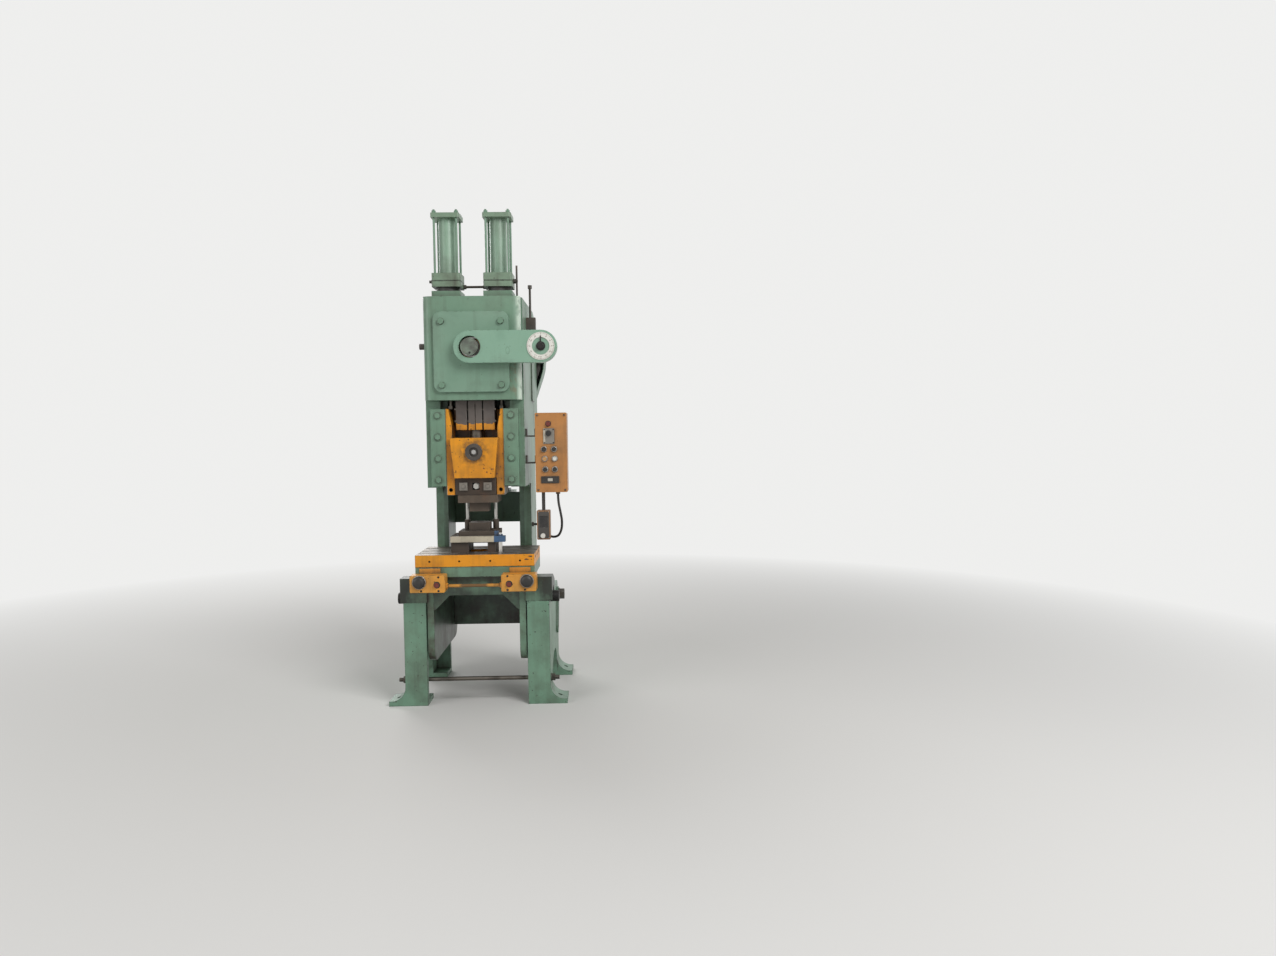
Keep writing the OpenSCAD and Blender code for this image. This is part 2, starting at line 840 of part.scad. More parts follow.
module leg() {
  flare_z = foot_t + flare_r;
  arch_y = leg_d2 - foot_len;
  round_r = min(arch_r, arch_h, arch_y - 2);
  profile = concat(
    [[-leg_d2, 0], [-arch_y, 0]],
    arc(-arch_y + round_r, arch_h - round_r, round_r, 180, 90, 8),
    arc(arch_y - round_r, arch_h - round_r, round_r, 90, 0, 8),
    [[arch_y, 0], [leg_d2, 0]],
    arc(leg_d2 - leg_top_r, leg_h - leg_top_r, leg_top_r, 0, 90, 6),
    [[-leg_d2, leg_h]]);
  color(green) difference() {
    union() {
      // Outer wall with the pivot's lug
      yz_plate(leg_out - leg_wall, leg_wall, profile);
      along_x(leg_out - leg_wall, pivot_y, pivot_z, pivot_lug_d, leg_wall);
      // Front and rear flanges and the top flange behind the pivot
      for (y = [-leg_d2, leg_d2 - leg_flange_t])
        translate([leg_in, y, 0])
          cube([leg_out - leg_in - 1, leg_flange_t, leg_h - (y > 0 ? leg_top_r : 0)]);
      translate([leg_in, clamp_back_y, leg_h - leg_top_t])
        cube([leg_out - leg_in - 1, leg_d2 - leg_top_r - clamp_back_y, leg_top_t]);
      // Boss round the clamp bolt's slot
      intersection() {
        yz_plate(leg_out - 1, slot_boss_t + 1, slot_line(clamp_boss_d / 2));
        translate([leg_out - 1, -leg_d2, foot_t]) cube([leg_wall, 2 * leg_d2, leg_h - foot_t]);
      }
      // Feet with their flares
      for (y = [-leg_d2, leg_d2 - foot_len]) {
        translate([leg_in, y, 0]) cube([foot_out - leg_in, foot_len, foot_t]);
        translate([0, y + foot_len, 0]) rotate([90, 0, 0]) linear_extrude(foot_len) polygon(concat(
          [[leg_out - 1, foot_t - 1], [leg_out - 1, flare_z]],
          arc(leg_out + flare_r, flare_z, flare_r, 180, 270, 8),
          [[leg_out + flare_r, foot_t - 1]]));
      }
    }
    along_x(leg_out - leg_wall - cut, pivot_y, pivot_z, pivot_d + 2 * run_gap, leg_wall + 2 * cut);
    yz_plate(leg_out - leg_wall - cut, leg_wall + slot_boss_t + 2 * cut,
      slot_line(clamp_d / 2 + slot_gap));
    along_x(leg_out - leg_wall - cut, tie_y, tie_z, tie_d + 2, leg_wall + 2 * cut);
    for (y = [-anchor_y, anchor_y])
      translate([anchor_x, y, -cut]) cylinder(d = anchor_d, h = foot_t + flare_r, $fn = 48);
  }
}

// Outline of the clamp bolt's slot: an arc about the pivot with round ends
function slot_line(r) = concat(
  arc(pivot_y, pivot_z, clamp_r + r, -clamp_angle, -clamp_angle - tilt_max, 10),
  arc(pivot_y + clamp_r * cos(clamp_angle + tilt_max), pivot_z - clamp_r * sin(clamp_angle + tilt_max),
    r, -clamp_angle - tilt_max, -clamp_angle - tilt_max - 180, 8),
  arc(pivot_y, pivot_z, clamp_r - r, -clamp_angle - tilt_max, -clamp_angle, 10),
  arc(pivot_y + clamp_r * cos(clamp_angle), pivot_z - clamp_r * sin(clamp_angle),
    r, 180 - clamp_angle, -clamp_angle, 8));

module leg_right() {
  leg();
}

module leg_left() {
  mirror([1, 0, 0]) leg();
}

module tie_rod() {
  nut_af = tie_d * 1.5;
  color(steel) {
    along_x(-leg_out - 2 * tie_d, tie_y, tie_z, tie_d, 2 * leg_out + 4 * tie_d, 32);
    both_sides() difference() {
      union() {
        along_x(leg_out, tie_y, tie_z, tie_d * 2, 4, 32);
        hex_x(leg_out + 4, tie_y, tie_z, nut_af, tie_d * 0.8);
      }
      along_x(leg_out - cut, tie_y, tie_z, tie_d, 2 * tie_d, 32);
    }
  }
}

// Frame

// Outline of a side plate, as (y, z) points
function plate_line() = concat(
  [[plate_front_y, bed_z]],
  arc(throat_y - throat_low_r, bed_z + throat_low_r, throat_low_r, -90, 0, 6),
  arc(throat_y - throat_r, head_z - throat_r, throat_r, 0, 90, 6),
  [[seat_y, head_z], [seat_y, crown_top_z]],
  arc(crown_back_y - crown_back_r, crown_top_z - crown_back_r, crown_back_r, 90, 0, 10),
  [[crown_back_y, overhang_z]],
  arc(column_back_y + 60, overhang_z - 260, 60, 130, 180, 5),
  [[column_back_y, pivot_z]],
  arc(plate_rear_y - plate_rear_r, plate_bottom_z + plate_rear_r, plate_rear_r, -20, -90, 6),
  arc(plate_front_y + plate_front_r, plate_bottom_z + plate_front_r, plate_front_r, -90, -180, 6));

module side_plate() {
  translate([plate_in, 0, 0]) rotate([90, 0, 90]) linear_extrude(plate_t) polygon(plate_line());
}

// Front box of the crown, its roofs, walls and bearings
module crown_walls() {
  // Front box, rounded at its upright corners
  difference() {
    translate([0, 0, crown_z]) linear_extrude(crown_top_z - crown_z)
      polygon(concat(
        arc(crown_w2 - crown_r, crown_y + crown_r, crown_r, -90, 0, 6),
        [[crown_w2, crown_y + crown_box_d], [-crown_w2, crown_y + crown_box_d]],
        arc(-crown_w2 + crown_r, crown_y + crown_r, crown_r, 180, 270, 6)));
    translate([-plate_in, crown_y + crown_wall, crown_z - cut])
      cube([2 * plate_in, crown_box_d, crown_top_z - crown_wall - crown_z + cut]);
  }
  // Roof between the side plates
  translate([-plate_in, crown_y + crown_box_d - 1, crown_top_z - crown_wall])
    cube([2 * plate_in, crown_back_y - crown_back_r - crown_y - crown_box_d + 2, crown_wall]);
  // Rear wall with its bearing
  translate([-plate_in, crown_back_y - crown_wall, overhang_z + 40])
    cube([2 * plate_in, crown_wall, crown_top_z - crown_back_r - overhang_z - 40]);
  // Rounded rear roof
  translate([-plate_in, 0, 0]) rotate([90, 0, 90]) linear_extrude(2 * plate_in) polygon(concat(
    arc(crown_back_y - crown_back_r, crown_top_z - crown_back_r, crown_back_r, 0, 90, 10),
    arc(crown_back_y - crown_back_r, crown_top_z - crown_back_r, crown_back_r - crown_wall, 90, 0, 10)));
  // Wall of the main bearing
  translate([-plate_in, main_bearing_y, crown_z])
    cube([2 * plate_in, main_bearing_l, crown_top_z - crown_z - 1]);
  // Pads under the balancers
  both_sides() translate([balancer_dx / 2 - cap_w / 2, axis_y - cap_w / 2, crown_top_z - 1])
    cube([cap_w, cap_w, pad_h + 1]);
}

// The bed lies on the side plates at the front and between them at the rear
module bed() {
  color(green) {
    // Table
    difference() {
      translate([-bed_w2, bed_y, bed_z - bed_table_t])
        cube([2 * bed_w2, bed_back_y - bed_y, bed_table_t]);
      translate([-bed_hole_w / 2, axis_y - bed_hole_d / 2, bed_z - bed_table_t - cut])
        cube([bed_hole_w, bed_hole_d, bed_table_t + 2 * cut]);
    }
    // Front wall with the chamfered scrap opening below it
    xz_plate(bed_y + bed_wall, bed_wall, [
      [-plate_in, bed_z - bed_table_t + 1], [plate_in, bed_z - bed_table_t + 1],
      [plate_in, chute_top_z - chute_chamfer], [plate_in - 8, chute_top_z - chute_chamfer],
      [plate_in - 8 - chute_chamfer, chute_top_z], [8 - plate_in + chute_chamfer, chute_top_z],
      [8 - plate_in, chute_top_z - chute_chamfer], [-plate_in, chute_top_z - chute_chamfer]]);
    // Rear wall of the bed, down behind the scrap opening
    translate([-plate_in, bed_rear_wall_y, bed_rear_wall_z])
      cube([2 * plate_in, bed_wall, bed_z - bed_rear_wall_z]);
    // Floor of the throat between the plates
    translate([-plate_in, bed_back_y - 1, bed_z - bed_wall])
      cube([2 * plate_in, bed_rear_wall_y - bed_back_y + 2, bed_wall]);
  }
}

// C-shaped side plates with what is welded to each of them
module side_plates() {
  color(green) both_sides() difference() {
    union() {
      side_plate();
      // Rib along the throat
      translate([plate_out - throat_rib_w + throat_rib_out, throat_y, bed_z])
        cube([throat_rib_w, throat_rib_t, head_z - bed_z + 1]);
      // Seat and way of the slide
      translate([tongue_out + way_gap, seat_y, head_z])
        cube([plate_in - tongue_out - way_gap + 1, tongue_d + way_bar_t, crown_z - head_z]);
      translate([gib_in, tongue_back_y + way_gap, head_z])
        cube([plate_in - gib_in, way_bar_t - way_gap, crown_z - head_z]);
      // Ear over the leg, open round the leg's lug, and the two bosses inside the leg
      yz_plate(plate_out - 1, ear_out - plate_out + 1, ear_line());
      along_x(plate_out - 1, pivot_y, pivot_z, pivot_boss_d, leg_out - leg_wall - plate_out - 1);
      along_x(plate_out - 1, pivot_y + clamp_dy, pivot_z - clamp_dz, clamp_boss_d,
        leg_out - leg_wall - plate_out - 1);
      // Blank panel on the crown's side
      yz_plate(plate_out - 1, panel_cast_t + 1, round_box(column_back_y - panel_cast_w / 2 - 30,
        crank_z - panel_cast_h / 2 + 40, panel_cast_w, panel_cast_h, 20, 4));
    }
    // Seat of the bed's table
    translate([0, bed_y, bed_z - bed_table_t]) cube([bed_w2, bed_back_y - bed_y, bed_table_t + cut]);
    // Bores of the pivot pins and clamp bolts
    along_x(plate_in - cut, pivot_y, pivot_z, pivot_d, leg_out - plate_in);
    along_x(plate_in - cut, pivot_y + clamp_dy, pivot_z - clamp_dz, clamp_d, leg_out - plate_in);
    // Threaded holes of the gib bolts
    for (i = [0 : gib_bolts_n - 1])
      along_y(gib_mid, seat_y - cut, gib_bolt_z(i), gib_bolt_d, gib_bolt_depth + cut, 32);
  }
}

// Crown between the side plates, with its front box before them
module crown() {
  color(green) difference() {
    union() {
      crown_walls();
      // Web behind the slide
      translate([-plate_in, head_web_y, head_z]) cube([2 * plate_in, head_web_t, crown_z - head_z + 1]);
      // Bearing boss on the rear wall
      along_y(0, crown_back_y - crown_wall - rear_boss_l, crank_z, shaft_d + 2 * bush_t + 60,
        crown_wall + rear_boss_l);
    }
    // Room of the side plates behind the front box
    both_sides() translate([plate_in, seat_y, crown_z - cut])
      cube([crown_w2, crown_back_y - seat_y, crown_top_z - crown_z + 2 * cut]);
    // Opening for the crank behind the front cover
    xz_plate(crown_y - cut, crown_wall + 2 * cut, round_box(0, cover_z, cover_w - 2 * cover_lap,
      cover_h - 2 * cover_lap, cover_r));
    // Bores of the rear bearings
    along_y(0, main_bearing_y - cut, crank_z, shaft_d + 2 * bush_t, main_bearing_l + 2 * cut);
    along_y(0, crown_back_y - crown_wall - rear_boss_l - cut, crank_z, shaft_d + 2 * bush_t,
      crown_wall + rear_boss_l + 2 * cut);
    // Ways of the piston rods through the roof
    both_sides() translate([balancer_dx / 2, axis_y, crown_top_z - crown_wall - cut])
      cylinder(d = piston_rod_d + 12, h = crown_wall + pad_h + 2 * cut, $fn = 48);
    // Threaded holes of the cover bolts
    cover_bolt_places(crown_y - cut, cover_bolt_d, cover_bolt_depth + cut);
  }
}

// Outline of an ear, as (y, z) points; its underside clears the leg when the frame leans back
function ear_line() =
  let (front = plate_front_y - ear_nose, low = leg_h + ear_gap, top = low + ear_h,
    r = pivot_lug_d / 2 + 1, rear = front + ear_l, a = asin((low - pivot_z) / r),
    rear_z = pivot_z + (rear - pivot_y) * tan(tilt_max) + (low - pivot_z) / cos(tilt_max) + 4)
  concat([[front, top], [front, low]], arc(pivot_y, pivot_z, r, 180 - a, tilt_max, 12),
    [[rear, rear_z], [rear, top - ear_fall], [rear - ear_l * 0.55, top]]);

function gib_bolt_z(i) = gib_z + gib_l / 2 + (i - (gib_bolts_n - 1) / 2) * gib_bolt_pitch;

module cover_bolt_places(y0, d, l) {
  for (x = [-1, 1], z = [-1, 1])
    along_y(x * cover_bolt_dx / 2, y0, cover_bolt_z + z * cover_bolt_dz / 2, d, l, 32);
}

module pivot_pins() {
  color(iron) both_sides() {
    along_x(plate_in + 4, pivot_y, pivot_z, pivot_d, leg_out - plate_in + 2);
    along_x(leg_out + 1, pivot_y, pivot_z, pivot_cap_d, pivot_cap_l);
  }
}

module clamp_bolts() {
  y = pivot_y + clamp_dy;
  z = pivot_z - clamp_dz;
  x = leg_out + slot_boss_t + 0.5;
  color(iron) both_sides() {
    along_x(plate_in + 4, y, z, clamp_d, x + 1 - plate_in - 4);
    along_x(x, y, z, clamp_d * 1.9, 6);
    hex_x(x + 5, y, z, clamp_d * 1.45, clamp_d * 0.8);
  }
}

module front_cover() {
  color(green) difference() {
    union() {
      xz_plate(cover_y, cover_t, round_box(0, cover_z, cover_w, cover_h, cover_r));
      // Housing of the front bearing
      along_y(0, crown_y - 1, crank_z, front_journal_d + 2 * bush_t + 50, cover_housing_l + 1);
    }
    along_y(0, cover_y - cut, crank_z, front_journal_d + 2 * bush_t, cover_t + cover_housing_l + 2 * cut);
    cover_bolt_places(cover_y - cut, cover_bolt_d, cover_t + 2 * cut);
  }
}

module cover_bolts() {
  color(green) {
    for (x = [-1, 1], z = [-1, 1]) {
      px = x * cover_bolt_dx / 2;
      pz = cover_bolt_z + z * cover_bolt_dz / 2;
      along_y(px, cover_y - 3, pz, cover_bolt_af * 1.25, 3, 32);
      hex_y(px, cover_y - 3 - cover_bolt_head, pz, cover_bolt_af, cover_bolt_head);
      along_y(px, cover_y, pz, cover_bolt_d, cover_t + cover_bolt_depth - 2, 32);
    }
  }
}

module main_bushes() {
  color(bronze) {
    along_ring(cover_y, cover_t + cover_housing_l, front_journal_d);
    along_ring(main_bearing_y, main_bearing_l, shaft_d);
    along_ring(crown_back_y - crown_wall - rear_boss_l, crown_wall + rear_boss_l, shaft_d);
  }
}

// A bush round the crank's axis
module along_ring(y0, l, d) {
  difference() {
    along_y(0, y0, crank_z, d + 2 * bush_t, l);
    along_y(0, y0 - cut, crank_z, d + 2 * run_gap, l + 2 * cut);
  }
}

module gibs() {
  color(green) both_sides() difference() {
    translate([gib_in, seat_y - gib_t, gib_z]) cube([gib_w, gib_t, gib_l]);
    for (i = [0 : gib_bolts_n - 1])
      along_y(gib_mid, seat_y - gib_t - cut, gib_bolt_z(i), gib_bolt_d, gib_t + 2 * cut, 32);
  }
}

module gib_bolts() {
  face = seat_y - gib_t;
  color(green) both_sides() for (i = [0 : gib_bolts_n - 1]) {
    along_y(gib_mid, face - 3, gib_bolt_z(i), gib_bolt_af * 1.6, 3, 32);
    hex_y(gib_mid, face - 3 - gib_bolt_head, gib_bolt_z(i), gib_bolt_af, gib_bolt_head);
    along_y(gib_mid, face, gib_bolt_z(i), gib_bolt_d, gib_t + gib_bolt_depth - 2, 32);
  }
}

module bolster() {
  top = bolster_top_z;
  color(yellow) difference() {
    translate([-bolster_w / 2, bolster_y, bolster_z]) cube([bolster_w, bolster_d, bolster_t]);
    for (i = [-1 : 1]) {
      translate([-bolster_w / 2 - cut, axis_y + i * slot_pitch - slot_w / 2, top - slot_neck_h])
        cube([bolster_w + 2 * cut, slot_w, slot_neck_h + cut]);
      translate([-bolster_w / 2 - cut, axis_y + i * slot_pitch - slot_foot_w / 2,
        top - slot_neck_h - slot_foot_h])
        cube([bolster_w + 2 * cut, slot_foot_w, slot_foot_h]);
    }
    translate([0, axis_y, bolster_z - cut]) cylinder(d = drop_d, h = bolster_t + 2 * cut);
    // Threaded holes for a rest at the front
    for (x = [-0.38, -0.13, 0.13, 0.38]) along_y(x * bolster_w, bolster_y - cut, bolster_z + bolster_t * 0.45,
      rest_hole_d, rest_hole_l + cut, 24);
  }
}

// Cover's arm and dial

function arm_line(r) = concat(arc(0, crank_z, r, 90, 270, 16), arc(arm_l, crank_z, r, -90, 90, 16));

module arm_case() {
  color(green) difference() {
    union() {
      difference() {
        xz_plate(arm_y, arm_d - arm_back_gap, arm_line(arm_r));
        xz_plate(arm_y + arm_t, arm_d, arm_line(arm_r - arm_t));
      }
      // Foot that carries the arm on the cover
      difference() {
        along_y(0, arm_y + arm_t - 1, crank_z, end_ring_d + 2 * arm_t, arm_d - arm_t + 1);
        along_y(0, arm_y, crank_z, end_ring_d, arm_d + cut);
      }
      // Bearing of the pointer's shaft
      along_y(arm_l, arm_y + 1, crank_z, pointer_shaft_d + 22, arm_bearing_l);
    }
    along_y(0, arm_y - cut, crank_z, end_ring_d, arm_t + 2 * cut);
    along_y(arm_l, arm_y - cut, crank_z, pointer_shaft_d + 2 * run_gap, arm_bearing_l + 3 * cut, 40);
    // Way of the chain out of the foot
    translate([0, chain_y - 3, crank_z - sprocket_d / 2 - 6])
      cube([end_ring_d, chain_w + 6, sprocket_d + 12]);
  }
}

module dial_ring() {
  color([0.88, 0.88, 0.84]) difference() {
    along_y(arm_l, arm_y - dial_t, crank_z, dial_d, dial_t, 64);
    along_y(arm_l, arm_y - dial_t - cut, crank_z, dial_bore, dial_t + 2 * cut, 64);
    for (i = [0 : 11]) translate([arm_l, arm_y - dial_t, crank_z]) rotate([0, i * 30, 0])
      translate([-1, -cut, (dial_d + dial_bore) / 4 + 6]) cube([2, cut + 1, dial_d / 4 - dial_bore / 4 - 8]);
  }
}

module sprocket(x) {
  root_r = sprocket_d / 2 - chain_w;
  translate([x, chain_y + chain_w, crank_z]) rotate([90, 0, 0]) linear_extrude(chain_w) polygon(
    [for (i = [0 : sprocket_teeth - 1], k = [0 : 3])
      let (a = (i + [-0.3, -0.14, 0.14, 0.3][k]) * 360 / sprocket_teeth,
        r = (k == 0 || k == 3) ? root_r : root_r + sprocket_tooth)
      [r * cos(a), r * sin(a)]]);
}

module timing_chain() {
  inner = sprocket_d / 2 - chain_w + sprocket_tooth + 0.4;
  color(steel) difference() {
    xz_plate(chain_y, chain_w, arm_line(inner + chain_h));
    xz_plate(chain_y - cut, chain_w + 2 * cut, arm_line(inner));
  }
}

module dial_pointer() {
  color(iron) {
    along_y(arm_l, arm_y - dial_t - 2, crank_z, pointer_d, 2 + dial_t - 0.5, 48);
    along_y(arm_l, arm_y - dial_t - pointer_h, crank_z, pointer_d * 0.62, pointer_h - 1, 40);
    translate([arm_l - 3, arm_y - dial_t - 4, crank_z]) cube([6, 3, dial_bore / 2 + 8]);
    along_y(arm_l, arm_y - 1, crank_z, pointer_shaft_d, arm_d - 18, 40);
    sprocket(arm_l);
  }
}

// Balancers

function balancer_x() = balancer_dx / 2;

module balancer_caps() {
  split_z = cap_z + cap_h * 0.42;
  color(green) both_sides() translate([balancer_x(), axis_y, 0]) difference() {
    union() {
      // Black packing ring, lower cap in two plates, upper flange
      translate([0, 0, crown_top_z + pad_h])
        cylinder(d = cap_w * 0.8, h = cap_z - crown_top_z - pad_h, $fn = 48);
      square_plate(cap_w, cap_z, split_z - cap_z - 1.5);
      square_plate(cap_w - 6, split_z - 2, 3);
      square_plate(cap_w, split_z + 1, cap_z + cap_h - split_z - 1);
      square_plate(head_w, cap_z + cap_h + tube_l, head_t);
    }
    translate([0, 0, crown_top_z]) cylinder(d = piston_rod_d + 2 * run_gap,
      h = cap_z + cap_h - crown_top_z + cut, $fn = 48);
    for (x = [-1, 1], y = [-1, 1]) translate([x * stud_x, y * stud_x, cap_z - cut])
      cylinder(d = stud_d, h = cap_h + tube_l + head_t + 2 * cut, $fn = 24);
  }
}

// A square plate with round corners
module square_plate(w, z0, h) {
  translate([0, 0, z0]) linear_extrude(h) polygon(round_box(0, 0, w, w, cap_r, 4));
}

module balancer_tubes() {
  color(green) both_sides() translate([balancer_x(), axis_y, cap_z + cap_h]) difference() {
    cylinder(d = tube_d, h = tube_l, $fn = 64);
    translate([0, 0, -cut]) cylinder(d = tube_d - 2 * tube_t, h = tube_l + 2 * cut, $fn = 64);
  }
}

module balancer_tie_rods() {
  top = cap_z + cap_h + tube_l + head_t;
  color(green) both_sides() for (x = [-1, 1], y = [-1, 1])
    translate([balancer_x() + x * stud_x, axis_y + y * stud_x, 0]) {
      translate([0, 0, cap_z]) cylinder(d = stud_d, h = top + stud_end - cap_z, $fn = 24);
      translate([0, 0, top]) cylinder(d = stud_d * 1.9, h = stud_d, $fn = 6);
    }
}

module air_pipe() {
  z = cap_z + 14;
  y = axis_y + cap_w / 4;
  inner = balancer_x() - cap_w / 2;
  outer = balancer_x() + cap_w / 2;
  color(iron) {
    along_x(-inner, y, z, pipe_d, 2 * inner, 24);
    both_sides() hex_x(inner - 16, y, z, pipe_d * 1.6, 16);
    // Fittings on the outer sides, and the supply that rises to the right one
    both_sides() {
      hex_x(outer, axis_y, cap_z + cap_h / 2, pipe_d * 1.7, 14);
      along_x(outer + 14, axis_y, cap_z + cap_h / 2, pipe_d * 1.2, 12, 24);
    }
    translate([outer + 20, axis_y, crown_top_z])
      cylinder(d = pipe_d * 0.8, h = cap_z + cap_h / 2 + 90 - crown_top_z, $fn = 20);
    // Plug on the crown's left side
    hex_x(-crown_w2 - 30, (crown_y + crown_r + seat_y) / 2, crank_z + 14, crown_plug_af, 30);
    // Filter on the right side plate with its bowl and its standing pipe
    translate([plate_out, filter_y(), filter_z()]) cube([filter_w, filter_w, filter_h]);
    translate([plate_out + filter_w / 2, filter_y() + filter_w / 2, filter_z() - 50])
      cylinder(d = filter_bowl_d, h = 51, $fn = 32);
    translate([plate_out + 18, filter_y() + filter_w - 1, filter_z() + filter_h / 2]) {
      rotate([-90, 0, 0]) cylinder(d = pipe_d, h = 50, $fn = 24);
      translate([0, 50, 0]) cylinder(d = pipe_d, h = filter_pipe_l - filter_h / 2, $fn = 24);
      translate([0, 50, filter_pipe_l - filter_h / 2 - 1]) cylinder(d = pipe_d * 1.8, h = 22, $fn = 6);
    }
  }
}

function filter_y() = crown_y + crown_box_d + 70;
function filter_z() = crown_top_z - filter_h - 90;

// Piston rods with their pistons; they hang from the slide
module balancer_rods() {
  color(steel) both_sides() translate([balancer_x(), axis_y, 0]) {
    translate([0, 0, slide_top_z]) cylinder(d = piston_rod_d, h = piston_z() - slide_top_z + 1, $fn = 48);
    translate([0, 0, slide_top_z]) cylinder(d = rod_nut_d, h = 18, $fn = 6);
    translate([0, 0, piston_z()])
      cylinder(d = tube_d - 2 * tube_t - 2 * run_gap, h = piston_h, $fn = 64);
  }
}

// The piston stands as high as the height adjustment lets it
function piston_z() = cap_z + cap_h + tube_l - adjust_h - piston_h - 6;

// Motor, belts and guard

module motor_bracket() {
  shelf_z = motor_z - motor_foot_h - bracket_t;
  color(green) {
    // Back plate against the rear edges of the side plates
    translate([-plate_out, column_back_y, shelf_z - bracket_drop])
      cube([2 * plate_out, bracket_t, bracket_drop + bracket_t]);
    translate([-motor_shelf_w2, column_back_y + bracket_t - 1, shelf_z])
      cube([2 * motor_shelf_w2, motor_l + motor_gap + 1, bracket_t]);
    // Gussets under the shelf
    both_sides() yz_plate(motor_shelf_w2 - bracket_t, bracket_t, [
      [column_back_y + bracket_t - 1, shelf_z + 1], [column_back_y + motor_l, shelf_z + 1],
      [column_back_y + bracket_t - 1, shelf_z - bracket_drop + 10]]);
  }
}

module motor() {
  y0 = motor_y();
  foot_z = motor_z - motor_foot_h;
  color([0.30, 0.42, 0.40]) difference() {
    union() {
      along_y(0, y0 + 40, motor_z, motor_d - 2 * motor_rib_h, motor_l - 60, 64);
      // End shields and the fan's cowl
      along_y(0, y0, motor_z, motor_d - 10, 42, 64);
      along_y(0, y0 + motor_l - 24, motor_z, motor_d - 6, 24, 64);
      // Cooling ribs, left out at the feet and the terminal box
      for (a = [0 : 360 / motor_ribs : 359]) if (abs(a - 90) > 27 && abs(a - 135) > 19 && abs(a - 225) > 19)
        translate([0, y0 + 38, motor_z]) rotate([0, a, 0])
          translate([-1.6, 0, motor_d / 2 - motor_rib_h - 6]) cube([3.2, motor_l - 58, motor_rib_h + 5]);
      // Feet
      both_sides() translate([motor_d * 0.26, y0 + 50, foot_z]) {
        cube([motor_foot_w, motor_l - 90, motor_foot_t]);
        cube([motor_d * 0.09, motor_l - 90, motor_foot_h * 0.4]);
      }
      // Terminal box
      translate([motor_d * 0.36, y0 + motor_l * 0.32, motor_z - terminal_h / 2])
        cube([motor_d * 0.28, terminal_w, terminal_h]);
    }
    along_y(0, y0 + motor_l - 60, motor_z, motor_shaft_d + 2 * run_gap, 60 + cut, 40);
  }
}

function motor_y() = column_back_y + bracket_t + motor_gap - 12;

// Grooves for the belts, cut into a rim
module belt_grooves(z, d, w) {
  for (i = [0 : belts - 1]) {
    y = belt_y + (i - (belts - 1) / 2) * belt_pitch;
    difference() {
      along_y(0, y - w / 2, z, d + 2 * cut, w, 96);
      along_y(0, y - w / 2 - cut, z, d - 2 * groove_h, w + 2 * cut, 96);
    }
  }
}

module flywheel() {
  y1 = flywheel_y + flywheel_w;
  color(iron) difference() {
    union() {
      difference() {
        along_y(0, flywheel_y, crank_z, flywheel_d, flywheel_w, 96);
        for (y = [flywheel_y - cut, y1 - flywheel_dish])
          along_y(0, y, crank_z, flywheel_d - 2 * flywheel_rim, flywheel_dish + cut, 96);
      }
      along_y(0, flywheel_y, crank_z, flywheel_hub_d, flywheel_w, 64);
    }
    along_y(0, flywheel_y - cut, crank_z, flywheel_bore + 2 * run_gap, flywheel_w + 2 * cut, 64);
    belt_grooves(crank_z, flywheel_d, belt_w + 1);
    for (i = [0 : 5]) translate([0, 0, crank_z]) rotate([0, i * 60, 0])
      along_y(0, flywheel_y, flywheel_hole_r, flywheel_hole_d, flywheel_w, 32);
  }
}

module motor_pulley() {
  w = belts * belt_pitch + 8;
  color(iron) {
    difference() {
      along_y(0, belt_y - w / 2, motor_z, pulley_d, w, 64);
      belt_grooves(motor_z, pulley_d, belt_w + 1);
    }
    along_y(0, motor_y() + motor_l - 58, motor_z, motor_shaft_d, belt_y + w / 2 + 3 - motor_y() - motor_l + 58, 40);
  }
}

module drive_belts() {
  seat = groove_h - belt_gap;
  color(black) for (i = [0 : belts - 1]) {
    y = belt_y + (i - (belts - 1) / 2) * belt_pitch - belt_w / 2;
    difference() {
      xz_plate(y, belt_w, belt_line(crank_z, flywheel_d / 2 - seat + belt_h,
        motor_z, pulley_d / 2 - seat + belt_h, 40));
      xz_plate(y - cut, belt_w + 2 * cut, belt_line(crank_z, flywheel_d / 2 - seat,
        motor_z, pulley_d / 2 - seat, 40));
    }
  }
}

module belt_guard() {
  front = flywheel_y - guard_front_gap;
  depth = guard_d;
  r1 = flywheel_d / 2 + guard_gap;
  r2 = pulley_d / 2 + guard_gap;
  color(green) {
    difference() {
      xz_plate(front, depth, belt_line(crank_z, r1, motor_z, r2));
      xz_plate(front - cut, depth - guard_t + cut,
        belt_line(crank_z, r1 - guard_t, motor_z, r2 - guard_t));
      // Square window over the clutch
      translate([-guard_hole_w / 2, front + depth - guard_t - cut, crank_z - guard_hole_w / 2])
        cube([guard_hole_w, guard_t + 2 * cut, guard_hole_w]);
    }
    // Lugs to the crown's rear wall
    both_sides() {
      translate([guard_lug_x, crown_back_y, crank_z - guard_lug_h / 2])
        cube([r1 - guard_lug_x - 1, front + 5 - crown_back_y, guard_lug_h]);
      translate([guard_lug_x, crown_back_y, crank_z - guard_lug_dz - guard_lug_h / 2])
        cube([plate_out - 16 - guard_lug_x, front + 5 - crown_back_y, guard_lug_h]);
    }
  }
}

// Crank train

